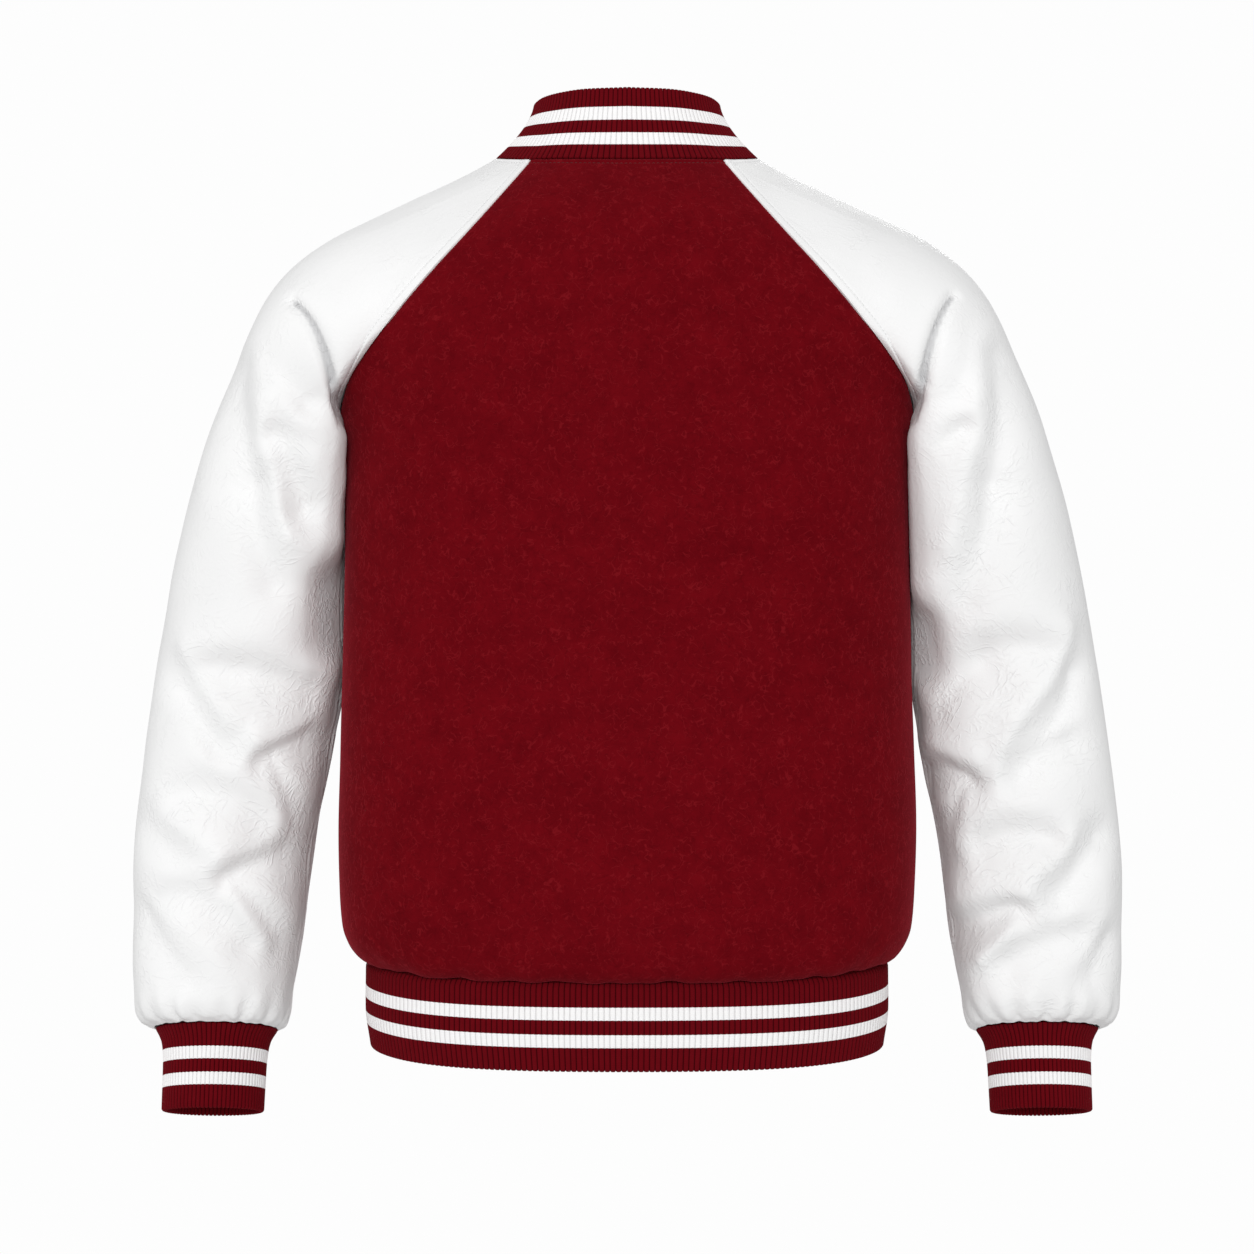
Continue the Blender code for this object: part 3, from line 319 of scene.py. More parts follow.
FRONT_GATHERS = fold_table(
    (34, -604, 35, -590, 33, -572, 7.5, 1.8, 0.7),
    (70, -604, 72, -592, 70, -576, 8.0, 2.0, 0.8),
    (104, -604, 103, -594, 106, -580, 7.0, 1.4, 0.6),
    (136, -604, 140, -590, 144, -570, 8.0, 2.1, 0.8),
    (164, -602, 172, -593, 181, -579, 6.0, 2.2, 0.9),
    (178, -603, 184, -596, 191, -587, 5.0, 1.6, 0.6),
)
# Broad, very soft drape of the wool.
BACK_DRAPE = fold_table(
    (190, -236, 172, -300, 168, -390, 26.0, 2.2, 0.8),
    (-192, -240, -176, -310, -170, -400, 26.0, 2.2, 0.8),
    (96, -330, 88, -420, 92, -520, 34.0, 1.3, 0.8),
    (-70, -300, -78, -400, -72, -510, 34.0, 1.3, 0.8),
)
FRONT_DRAPE = fold_table(
    (188, -236, 168, -300, 160, -390, 26.0, 2.2, 0.8),
    (92, -150, 88, -260, 84, -380, 32.0, 1.4, 0.8),
    (60, -400, 66, -480, 70, -560, 30.0, 1.4, 0.8),
)
# Swells and hollows of each sleeve beside the body: turn from its inner outline towards the back
# in degrees, height, half width in degrees, half height, and the push inward (below 0 outward).
LEFT_SWELLS = ((-21, -306, 14, 90, -3.0), (36, -338, 22, 36, 8.5))
RIGHT_SWELLS = ((-21, -300, 14, 86, -3.0), (32, -366, 20, 30, 9.0))
# How much of the sleeve's back inner side is pressed flat against the body, by height, and where
# that moves it, by turn in degrees: across, and to the back.
LEFT_PRESS = (
    (-645, 0.0), (-610, 0.25), (-440, 0.30), (-408, 0.60), (-386, 0.60), (-360, 0.30),
    (-322, 0.30), (-282, 0.9), (-226, 0.9), (-206, 0.7), (-186, 0.0),
)
RIGHT_PRESS = (
    (-645, 0.0), (-615, 0.60), (-440, 0.75), (-414, 0.75), (-398, 0.60), (-378, 0.30),
    (-352, 0.35), (-316, 0.9), (-226, 0.9), (-206, 0.7), (-186, 0.0),
)
PRESS_MOVES = (
    (-12, 0.0, 0.0), (0, -1.5, 0.0), (12, -5.0, -1.0), (22, -10.0, -2.0), (32, -14.5, -1.0),
    (42, -17.5, 1.0), (52, -17.0, 3.0), (62, -12.5, 4.0), (76, -5.0, 2.5), (94, 0.0, 0.0),
)
# How far a sleeve's inner side moves away from the body, by height.
INNER_MOVES = (
    (-660, 0.0), (-480, 0.3), (-430, 2.8), (-406, 0.0), (-385, -2.8), (-250, -2.8), (-222, 0.0),
)
FOLD_LINE_STEPS = 17
FOLD_GAIN = 2.5
FOLD_SPREAD = 1.35
FOLD_SINK = 0.42  # how far a level fold lies below its line, as a share of its upper side
FRONT_FOLD_SHARE = 0.62
WIDE_FOLD = 7.0
WIDE_FOLD_STRETCH = 1.4
# Pleats round the end of each sleeve: turn round the sleeve in degrees, half width in degrees,
# depth and reach up the sleeve.
LEFT_PLEATS = (
    (38, 3.4, 1.6, 26), (62, 2.6, 2.4, 22), (76, 3.0, 1.0, 30), (96, 2.6, 1.4, 16),
    (113, 2.6, 2.6, 24), (134, 3.2, 1.4, 22), (157, 3.4, 1.2, 20), (184, 3.4, 1.6, 26),
    (212, 3.2, 1.4, 22), (238, 2.8, 2.2, 26), (262, 3.0, 1.6, 18), (284, 2.8, 2.2, 24),
    (310, 3.2, 1.4, 20), (338, 3.4, 1.6, 26), (8, 3.2, 1.4, 22),
)
RIGHT_PLEATS = (
    (30, 3.4, 1.4, 22), (52, 2.6, 1.2, 20), (68, 2.6, 2.4, 26), (88, 2.4, 2.8, 18),
    (106, 2.6, 2.2, 24), (128, 3.2, 1.2, 20), (152, 3.4, 1.4, 24), (180, 3.4, 1.4, 22),
    (206, 3.2, 1.6, 26), (232, 2.8, 1.8, 20), (256, 3.0, 2.2, 26), (280, 2.8, 1.6, 18),
    (304, 3.2, 2.0, 24), (332, 3.4, 1.4, 22), (6, 3.2, 1.2, 20),
)
SLEEVE_TABLES = {  # last comes the seed of the sleeve's unevenness
    "left": (LEFT_BACK_FOLDS, LEFT_FRONT_FOLDS, LEFT_SWELLS, LEFT_PRESS, LEFT_PLEATS, 11),
    "right": (RIGHT_BACK_FOLDS, RIGHT_FRONT_FOLDS, RIGHT_SWELLS, RIGHT_PRESS, RIGHT_PLEATS, 23),
}

# ---------------------------------------------------------------- stage tables

# These are in metres and watts.
ROOM_PROFILE = (  # radius, height
    (0.0, -1.45), (3.4, -1.45), (4.4, -1.40), (5.2, -1.15), (5.7, -0.65), (5.95, 0.2), (6.0, 1.4),
    (5.7, 3.0), (4.6, 4.6), (2.6, 5.6), (0.0, 6.0),
)
ROOM_SIDES = 96
ROOM_GLOW = 0.983
AIR_GLOW = 0.60
CAMERA_PLACE = (0.0, 2.1, -0.350)
CAMERA_LENS = 80.9
LIGHTS = (  # name, place, aim, size, energy
    ("key_light", (0.4, 4.6, 1.6), (0.0, 0.0, -0.35), 2.0, 101.0),
    ("front_key_light", (-0.4, -4.6, 1.6), (0.0, 0.0, -0.35), 2.0, 97.0),
    ("low_light", (0.0, 3.6, -1.1), (0.0, 0.0, -0.55), 1.4, 14.0),
    ("front_low_light", (0.0, -3.6, -1.1), (0.0, 0.0, -0.55), 1.4, 12.0),
    ("left_light", (3.1, 0.0, -0.2), (0.0, 0.0, -0.45), 1.6, 9.0),
    ("right_light", (-3.1, 0.0, -0.2), (0.0, 0.0, -0.45), 1.6, 3.0),
)


# ---------------------------------------------------------------- settings


def length_setting(name, text, default, low, high):
    """A length that can be set, in metres."""
    return FloatProperty(name=name, description=text, default=default, min=low, max=high,
                         subtype="DISTANCE", unit="LENGTH")


def colour_setting(name, text, default):
    """A colour that can be set."""
    return FloatVectorProperty(name=name, description=text, default=default, size=3,
                               min=0.0, max=1.0, subtype="COLOR")


class JacketSizes(bpy.types.PropertyGroup):
    """Sizes of the cloth, ribs and stitches."""

    wool_wall: length_setting(
        "Wool Thickness", "How thick the felted wool is", 0.0022, 0.0008, 0.004)
    leather_wall: length_setting(
        "Leather Thickness", "How thick the leather is", 0.0017, 0.0008, 0.003)
    knit_wall: length_setting(
        "Knit Thickness", "How thick the doubled rib knit is between its ribs",
        0.0026, 0.001, 0.005)
    rib_height: length_setting(
        "Rib Height", "How far each rib stands above the furrow beside it",
        0.00095, 0.0002, 0.002)
    topstitch_offset: length_setting(
        "Topstitch Offset", "Distance of the topstitching from a sleeve seam",
        0.0066, 0.003, 0.012)
    stitch_pitch: length_setting(
        "Stitch Pitch", "Distance from one stitch to the next", 0.0033, 0.0015, 0.006)
    snap_radius: length_setting(
        "Snap Radius", "Radius of a snap cap", 0.0075, 0.004, 0.012)
    snap_sides: IntProperty(
        name="Snap Sides", description="How many sides a snap cap is turned with",
        default=40, min=12, max=96)


class JacketColours(bpy.types.PropertyGroup):
    """Colours of the wool, leather, knit, thread and metal."""

    wool: colour_setting(
        "Wool", "Main colour of the felted wool", (0.147, 0.0024, 0.0056))
    wool_dark: colour_setting(
        "Wool Shade", "Darker fibres of the felted wool", (0.100, 0.0014, 0.0038))
    leather: colour_setting("Leather", "Colour of the leather", (0.89, 0.89, 0.89))
    knit: colour_setting(
        "Rib Knit", "Main colour of the rib knit", (0.148, 0.0028, 0.0066))
    stripe: colour_setting(
        "Stripes", "Colour of the stripes in the rib knit", (0.94, 0.935, 0.935))
    metal: colour_setting("Snap Metal", "Colour of the snap caps", (0.62, 0.62, 0.64))


# ---------------------------------------------------------------- measuring and curves


def slopes(xs, ys):
    """Slopes of a smooth curve through a table that never overshoots it."""
    step = np.diff(xs)
    rate = np.diff(ys) / step
    slope = np.zeros_like(ys)
    slope[0] = rate[0]
    slope[-1] = rate[-1]
    for i in range(1, len(xs) - 1):
        if rate[i - 1] * rate[i] > 0.0:
            w0 = 2.0 * step[i] + step[i - 1]
            w1 = step[i] + 2.0 * step[i - 1]
            slope[i] = (w0 + w1) / (w0 / rate[i - 1] + w1 / rate[i])
    return slope


def smooth(xs, ys, x):
    """Read the table (xs, ys) at x along a smooth curve."""
    xs = np.asarray(xs, float)
    ys = np.asarray(ys, float)
    x = np.clip(np.asarray(x, float), xs[0], xs[-1])
    slope = slopes(xs, ys)
    i = np.clip(np.searchsorted(xs, x, side="right") - 1, 0, len(xs) - 2)
    h = xs[i + 1] - xs[i]
    t = (x - xs[i]) / h
    a = (1.0 + 2.0 * t) * (1.0 - t) ** 2
    b = t * (1.0 - t) ** 2
    c = t * t * (3.0 - 2.0 * t)
    d = t * t * (t - 1.0)
    return a * ys[i] + b * h * slope[i] + c * ys[i + 1] + d * h * slope[i + 1]


def read_table(table, column, at):
    """Read a column of a table at a value of its first one, along a smooth curve."""
    return smooth(table[:, 0], table[:, column], at)


def mirrored(points):
    """The same points on the wearer's other side."""
    return points * np.array((-1.0, 1.0, 1.0))


def distance_along(points):
    """The distance of each point of a line of points from its start."""
    return np.concatenate(([0.0], np.cumsum(np.linalg.norm(np.diff(points, axis=0), axis=1))))


def at_distances(points, wanted):
    """Points at distances along a line of points."""
    along = distance_along(points)
    return np.stack([np.interp(wanted, along, points[:, k]) for k in range(3)], axis=1)


def curve_through(points, fractions):
    """Points at fractions of the length of a smooth curve through the points."""
    knots = distance_along(points)
    spots = np.linspace(0.0, knots[-1], 1200)
    fine = np.stack([smooth(knots, points[:, k], spots) for k in range(3)], axis=1)
    return at_distances(fine, np.asarray(fractions) * distance_along(fine)[-1])


def graded(end, steps):
    """Spots from 0 to end, whose spacing is read from a table of (spot, spacing)."""
    places, sizes = zip(*steps)
    spots = [0.0]
    while spots[-1] < end:
        spots.append(spots[-1] + float(np.interp(spots[-1], places, sizes)))
    return np.array(spots) * (end / spots[-1])


def fade(value):
    """1 at 0 and below, 0 at 1 and above, smooth between."""
    t = np.clip(value, 0.0, 1.0)
    return 1.0 - t * t * t * (t * (6.0 * t - 15.0) + 10.0)


def hump(distance, width):
    """A smooth hump, 1 at distance 0 and spent by about twice the width."""
    return np.exp(-((distance / width) ** 2))


def unit(vectors):
    """Vectors scaled to length 1."""
    length = np.linalg.norm(vectors, axis=-1, keepdims=True)
    return vectors / np.maximum(length, 1e-9)


def grid_normals(grid, wrap):
    """Unit normals of a grid of points, along rows cross along columns."""
    down = np.gradient(grid, axis=0)
    if wrap:
        across = np.roll(grid, -1, axis=1) - np.roll(grid, 1, axis=1)
    else:
        across = np.gradient(grid, axis=1)
    return unit(np.cross(across, down))


def uneven(points, size, seed):
    """A smooth uneven field between about -1 and 1, with humps of about the given size."""
    random = np.random.default_rng(seed)
    total = np.zeros(points.shape[:-1])
    for _ in range(9):
        direction = unit(random.normal(size=3))
        wave = size * random.uniform(0.7, 1.6)
        total += np.sin(points @ direction * (2.0 * math.pi / wave) + random.uniform(0.0, 6.28))
    return total / 4.2


def nearest(points, line, reach=24.0):
    """The distance of each point of a grid to a line of points, up to a reach."""
    flat = points.reshape(-1, 3)
    found = np.full(len(flat), reach)
    low = line.min(axis=0) - reach
    high = line.max(axis=0) + reach
    near = np.nonzero(np.all((flat > low) & (flat < high), axis=1))[0]
    for start in range(0, len(near), 4000):
        part = near[start : start + 4000]
        away = np.linalg.norm(flat[part, None] - line[None], axis=2).min(axis=1)
        found[part] = np.minimum(away, reach)
    return found.reshape(points.shape[:-1])


def fold_push(points, folds, spread=1.0, sink=0.0):
    """How far folds push points inward, and a mark of how much the cloth creases there, from 0 to
    1.

    In the tight folds under the arms the mark goes on up to 2, as painted shade that greys the
    leather there. The folds of leather, with a spread above 1, have sharper bottoms and drawn-out
    upper sides.
    """
    leather = spread > 1.0
    sinks, crests, creased, painted_fold_shade = (np.zeros(points.shape[:-1]) for _ in range(4))
    t = np.linspace(0.0, 1.0, FOLD_LINE_STEPS)
    x, z = points[..., 0], points[..., 2]
    for x0, z0, xm, zm, x1, z1, upper, lower, scale0, scale1, depth0, depth1 in folds:
        upper, lower = upper * spread, lower * spread
        if leather and upper > WIDE_FOLD:
            upper *= WIDE_FOLD_STRETCH
        ends = ((1 - t) ** 2)[:, None] * (x0, z0) + (2 * t * (1 - t))[:, None] * (xm, zm)
        line = ends + (t**2)[:, None] * (x1, z1)
        level = abs(x1 - x0) / math.hypot(x1 - x0, z1 - z0)
        if depth0 > 0.0:
            line[:, 1] -= sink * upper * level
        reach = 2.7 * max(upper, lower) * max(scale0, scale1)
        low, high = line.min(axis=0) - reach, line.max(axis=0) + reach
        near = (x > low[0]) & (x < high[0]) & (z > low[1]) & (z < high[1])
        spot = np.stack((x[near], z[near]), axis=1)
        if not len(spot):
            continue
        start, step = line[:-1], np.diff(line, axis=0)
        away = spot[:, None] - start[None]
        share = np.clip((away * step).sum(-1) / (step * step).sum(-1), 0.0, 1.0)
        gap = away - share[..., None] * step
        size = np.linalg.norm(gap, axis=-1)
        best = size.argmin(axis=1)
        pick = np.arange(len(spot))
        along = (best + share[pick, best]) / len(step)
        size, gap = size[pick, best], gap[pick, best]
        # Which side is the upper one, or the outer one where the fold runs upright.
        chord = line[-1] - line[0]
        across = np.array((-chord[1], chord[0])) / np.linalg.norm(chord)
        if across[1] < -0.25 or (across[1] < 0.25 and across[0] < 0.0):
            across = -across
        lean = unit(np.stack((-step[:, 1], step[:, 0]), axis=1))
        lean *= np.sign(lean @ across)[:, None]
        side = (gap * lean[best]).sum(axis=1) / np.maximum(size, 1e-6)
        width = lower + (upper - lower) * (0.5 + 0.5 * side)
        width = width * (scale0 + (scale1 - scale0) * along)
        depth = depth0 + (depth1 - depth0) * along
        ratio = size / width
        power = np.interp(min(upper, lower), (5.0, 12.0), (1.35, 1.8)) if leather else 2.0
        # Folds that cross are joined softly, by the cube root of their cubes.
        pile = sinks if depth0 > 0.0 else crests
        pile[near] += (np.abs(depth) * np.exp(-(ratio**power))) ** 3
        creased[near] += np.clip(np.abs(depth) / 5.0, 0.0, 1.0) * np.exp(-((ratio / 1.3) ** 2))
        # Painted shade: in narrow leather folds the mark goes on above 1, to grey the leather
        # there.
        if leather and upper < 4.5 * spread:
            tight = np.exp(-(ratio**2)) * fade(1.0 - depth / 3.0)
            painted_fold_shade[near] = np.maximum(painted_fold_shade[near], tight)
    return np.cbrt(sinks) - np.cbrt(crests), np.clip(creased, 0.0, 1.0 - painted_fold_shade) + 2.0 * painted_fold_shade


# ---------------------------------------------------------------- body


def seam_of(face):
    """The raglan seam of the back (1) or the front (-1)."""
    return BACK_SEAM if face > 0 else FRONT_SEAM


def seam_spots(face):
    """Fractions along a raglan seam, close together where it nears the neck."""
    length = distance_along(curve_through(seam_of(face), np.linspace(0.0, 1.0, 600)))[-1]
    steps = ((0.0, 1.6), (30.0, 3.3), (length - 24.0, 3.3), (length - 11.0, 0.8), (length, 0.7))
    return graded(length, steps) / length


def edge_at(face, height):
    """Half width and depth of the body's edge at a height."""
    if ("edge", face) not in STORE:
        STORE["edge", face] = curve_through(seam_of(face), np.linspace(0.0, 1.0, 500))
    seam = STORE["edge", face]
    order = np.argsort(seam[:, 2])
    width = np.interp(height, seam[order, 2], seam[order, 0])
    depth = np.interp(height, seam[order, 2], np.abs(seam[order, 1]))
    side = read_table(BODY_ROWS, 1, height)
    below = height <= seam[0, 2]
    return np.where(below, side, width), np.where(below, 0.0, depth)


def face_depth(face, height):
    """How far back (or forward) the middle of the body's outside lies at a height."""
    return read_table(BODY_ROWS, 2 if face > 0 else 3, height)


def body_depth(face, x, height):
    """How far back (or forward) the body's outside lies at a place across it."""
    middle = face_depth(face, height)
    width, depth = edge_at(face, height)
    share = np.clip(1.0 - (depth / middle) ** BODY_POWER, 1e-6, 1.0)
    full = width / share ** (1.0 / BODY_POWER)
    rest = np.clip(1.0 - (np.abs(x) / full) ** BODY_POWER, 0.0, 1.0)
    return face * middle * rest ** (1.0 / BODY_POWER)


def edge_steps(length, count):
    """Distances from a piece's edge, close together near the edge."""
    return np.concatenate((EDGE_STEPS, np.linspace(EDGE_STEPS[-1], length, count + 1)[1:]))


def panel_grid(face):
    """Outer grid of the back or a front, a row at a time from the hem to the neck.

    Also how many of its rows lie below the armhole.
    """
    seam = curve_through(seam_of(face), seam_spots(face))
    side = HEM_HEIGHT + graded(PANEL_STEPS[-1][0], PANEL_STEPS)[:-1]
    heights = np.concatenate((side, seam[:, 2]))
    low, rise = heights[0], heights[-1] - heights[0]
    grid = []
    for index, row in enumerate(heights):
        joint = seam[index - len(side)] if index >= len(side) else None
        if joint is None:
            width, depth = (float(v) for v in edge_at(face, row))
        else:
            width, depth = joint[0], abs(joint[1])
        centre = low + (row - low) * (NECK_HEIGHT[face] - low) / rise
        share = 1.0 - (depth / float(face_depth(face, row))) ** BODY_POWER
        turn = math.asin(math.sqrt(min(max(share, 0.0), 1.0)))
        xs = (np.sin(turn * np.linspace(0.0, 1.0, 260)) / math.sin(turn)) ** (2.0 / BODY_POWER)
        if face > 0:
            xs = width * xs
        else:
            stand = np.linspace(-STAND_HALF_WIDTH, STAND_HALF_WIDTH, 12)[:-1]
            xs = np.concatenate((stand, STAND_HALF_WIDTH + (width - STAND_HALF_WIDTH) * xs))
        height = centre + (row - centre) * (np.abs(xs) / width) ** NECK_DIP_POWER
        line = np.stack((xs, body_depth(face, xs, height), height), axis=1)
        if joint is None:
            line[-1, 1] = 0.0
        else:
            line[-1] = joint
        length = distance_along(line)[-1]
        if face > 0:
            half = at_distances(line, length - edge_steps(length, BACK_COLUMNS)[::-1])
            half[0, 0] = 0.0
            grid.append(np.concatenate((mirrored(half[::-1]), half[1:])))
        else:
            close = edge_steps(length, 1)[:-1]
            between = np.linspace(close[-1], length - close[-1], FRONT_COLUMNS + 1)[1:-1]
            grid.append(at_distances(line, np.concatenate((close, between, length - close[::-1]))))
    grid = np.array(grid)
    grid[..., 2] += side_rise(grid[..., 0]) * fade((grid[..., 2] - HEM_HEIGHT) / HEM_RISE_REACH)
    return grid, len(side)


def side_rise(x):
    """How far the hem rises towards the sides."""
    return HEM_SIDE_RISE * (np.abs(x) / BAND_ROWS[0, 1]) ** 6


def lift_left(grid, lift):
    """Raise the wearer's left edge over the right one, where they overlap in front."""
    raised = grid.copy()
    amount = lift * fade((grid[..., 0] - STAND_HALF_WIDTH) / LIFT_FADE)
    raised[..., 1] -= amount * (grid[..., 1] < 0.0)
    return raised


# ---------------------------------------------------------------- sleeves


def sleeve_oval(station, turn):
    """A point of the sleeve's oval sections at a station, turn 0 at the inner outline."""
    spots = np.arange(len(SLEEVE_ROWS))
    read = [smooth(spots, SLEEVE_ROWS[:, k], station) for k in range(7)]
    outer = np.stack((read[0], read[1]), axis=-1)
    inner = np.stack((read[2], read[3]), axis=-1)
    cosine, sine = np.cos(turn), np.sin(turn)
    along = np.sign(cosine) * np.abs(cosine) ** (2.0 / SLEEVE_POWER)
    across = np.sign(sine) * np.abs(sine) ** (2.0 / SLEEVE_POWER)
    flat = (outer + inner) * 0.5 + (inner - outer) * 0.5 * along[..., None]
    depth = across * read[4]
    return np.stack((flat[..., 0], read[5] + depth, flat[..., 1] + read[6] * depth), axis=-1)


def sleeve_edge():
    """The sleeve's edge, up the back seam, over the neck and down the front seam.

    With each point comes its turn round the sleeve, and with the whole the span of each part.
    """
    spots = {face: seam_spots(face) for face in (1, -1)}
    back = curve_through(BACK_SEAM, spots[1])
    front = curve_through(FRONT_SEAM, spots[-1])
    neck_steps = 24 + (len(back) + len(front)) % 2
    neck = curve_through(NECK_EDGE, np.linspace(0.0, 1.0, neck_steps + 1))
    points = np.concatenate((back, neck[1:-1], front[:0:-1]))
    full = 2.0 * math.pi
    turns = np.concatenate((
        SEAM_EDGE_TURN * spots[1],
        np.linspace(SEAM_EDGE_TURN, full - SEAM_EDGE_TURN, neck_steps + 1)[1:-1],
        full - SEAM_EDGE_TURN * spots[-1][:0:-1],
    ))
    first, last = len(back), len(points) - len(front) + 1
    spans = {"back": slice(0, first), "neck": slice(first - 1, last + 1),
             "front": slice(last, None)}
    return points, turns, spans


def sleeve_base():
    """The wearer's left sleeve without its folds, its stations and turns."""
    edge, turns, _ = sleeve_edge()
    station, turn = np.meshgrid(graded(LAST_STATION, SLEEVE_STEPS), turns, indexing="ij")
    grid = sleeve_oval(station, turn)
    grid = grid + (edge - grid[0])[None] * fade(station / SEAM_FADE_STATIONS)[..., None]
    grid[..., 2] += CUFF_RAISE * (1.0 - fade((CUFF_RAISE_TOP - grid[..., 2]) / CUFF_RAISE_REACH))
    return grid, station, turn


def outward(grid):
    """Unit normals of a closed tube, turned away from its middle."""
    normals = grid_normals(grid, True)
    middle = grid.mean(axis=1, keepdims=True)
    return normals * np.sign(np.sum(normals * (grid - middle)))


def topstitch_relief(away, offset):
    """Seam allowance under leather: the edge rolls down, then a ridge and a stitched groove."""
    ridge = fade(-away / 1.1 + 1.0) * fade((away - offset + 1.6) / 2.2)
    return 0.55 * ridge - 0.9 * hump(away, 0.9) - 0.42 * hump(away - offset, 0.75)


def half_turn(degrees):
    """Turns in degrees, brought between -180 and 180."""
    return (degrees + 180.0) % 360.0 - 180.0


def press_sleeve(grid, from_inside, press, seam_away):
    """Press the sleeve's inner back flat against the body."""
    heights, amounts = np.array(press, float).T
    pressed = smooth(heights, amounts, grid[..., 2]) * (1.0 - fade((seam_away - 2.0) / 9.0))
    turns, across, back = np.array(PRESS_MOVES, float).T
    grid[..., 0] += smooth(turns, across, from_inside) * pressed
    grid[..., 1] += smooth(turns, back, from_inside) * pressed
    heights, moves = np.array(INNER_MOVES).T
    grid[..., 0] += smooth(heights, moves, grid[..., 2]) * fade(np.abs(from_inside) / 75.0)


def keep_off_body(grid, seam_away):
    """Move a sleeve out of the body where it is within a small gap of it."""
    y, z = grid[..., 1], grid[..., 2]
    middle = np.where(y > 0.0, face_depth(1, z), face_depth(-1, z))
    rest = np.clip(1.0 - np.abs(y / middle) ** BODY_POWER, 0.0, 1.0)
    body = read_table(BODY_ROWS, 1, z) * rest ** (1.0 / BODY_POWER)
    close = np.clip(body + PRESS_GAP - grid[..., 0], 0.0, None)
    grid[..., 0] += close * (1.0 - fade((seam_away - 3.0) / 9.0))


def sleeve_shape(side, offset):
    """A sleeve on the left: its grid, normals and relief, and its crease mark, which carries
    painted shade above 1.
    """
    grid, station, turn = sleeve_base()
    back_folds, front_folds, swells, press, pleats, seed = SLEEVE_TABLES[side]
    edge, _, spans = sleeve_edge()
    seam_away = np.full(grid.shape[:2], 40.0)
    seam_away[:HOLD_ROWS] = nearest(grid[:HOLD_ROWS], edge, 40.0)
    hold = 1.0 - fade((seam_away - 7.0) / 16.0)
    degrees = np.degrees(turn)
    from_inside = half_turn(degrees)
    press_sleeve(grid, from_inside, press, seam_away)
    normals = outward(grid)

    facing = np.sin(turn)
    back_push, back_crease_and_shade = fold_push(grid, back_folds, FOLD_SPREAD, FOLD_SINK)
    front_push, front_crease_and_shade = fold_push(grid, front_folds, FOLD_SPREAD, FOLD_SINK)
    push = np.where(facing > 0.0, back_push, FRONT_FOLD_SHARE * front_push)
    creased = np.where(facing > 0.0, back_crease_and_shade, front_crease_and_shade)
    end = fade((station - 20.8) / 2.0)
    weight = np.clip(np.abs(facing) * 1.6, 0.0, 1.0) ** 0.8 * (0.3 + 0.7 * hold)
    push = FOLD_GAIN * push * weight * (0.15 + 0.85 * end)
    push += 0.35 * uneven(grid, 52.0, seed) * hold * end
    push += 0.06 * uneven(grid, 18.0, seed + 1) * hold * (0.3 + creased)
    for centre, height, wide, tall, depth in swells:
        away = half_turn(degrees - centre)
        swell = hump(away, wide) * np.exp(-(((grid[..., 2] - height) / tall) ** 4)) * hold
        push += depth * swell
        # Beside an inward hollow, painted shade: the mark goes above 1 and the leather is greyed
        # there.
        if depth > 0.0:
            shaded = hump(away + 14.0, 1.3 * wide) * swell ** 0.35
            creased = np.maximum(creased, 1.75 * shaded)
    stations = np.arange(len(SLEEVE_ROWS))
    down = np.interp(station, stations, SLEEVE_ROWS[:, 1]) - CUFF_SEAM_HEIGHT
    for centre, half, depth, reach in pleats:
        away = np.abs(half_turn(degrees - centre))
        rise = np.exp(-((down / reach) ** 2)) * np.clip((LAST_STATION - station) * 1.4, 0.35, 1.0)
        grown = half * (1.0 + 0.9 * down / reach)
        pleat = np.exp(-((away / grown) ** 2)) - 0.45 * hump(away - 2.3 * grown, grown)
        push += depth * rise * pleat
        creased = np.maximum(creased, 0.6 * rise * hump(away, 2.0 * half))
    grid = grid - normals * push[..., None]
    keep_off_body(grid, seam_away)

    top = grid[:SEAM_ROWS]
    near_seam = np.minimum(nearest(top, edge[spans["back"]]), nearest(top, edge[spans["front"]]))
    from_neck = nearest(top, edge[spans["neck"]])
    relief = np.zeros(push.shape)
    relief[:SEAM_ROWS] += topstitch_relief(near_seam, offset)
    relief[:SEAM_ROWS] += -1.0 * hump(from_neck, 1.3) - 0.4 * hump(from_neck - NECK_STITCH, 0.8)
    relief[:SEAM_ROWS] += 0.3 * hump(from_neck - 2.7, 1.4)
    # The underarm seam, a doubled ridge down the inner side.
    line = (turn - 2.0 * math.pi * (turn > math.pi)) * np.interp(station[:, :1], (0, 24), (60, 52))
    wander = 6.0 + 2.0 * np.sin(station * 0.9 + seed)
    seam_side = np.abs(line - wander)
    ridge = (1.0 - fade((station - 1.0) / 1.5)) * fade((station - 22.6) / 1.2)
    relief += ridge * (0.5 * hump(seam_side - 2.6, 1.5) - 0.6 * hump(seam_side, 1.0))
    return grid, outward(grid), relief, creased


# ---------------------------------------------------------------- all the cloth shapes


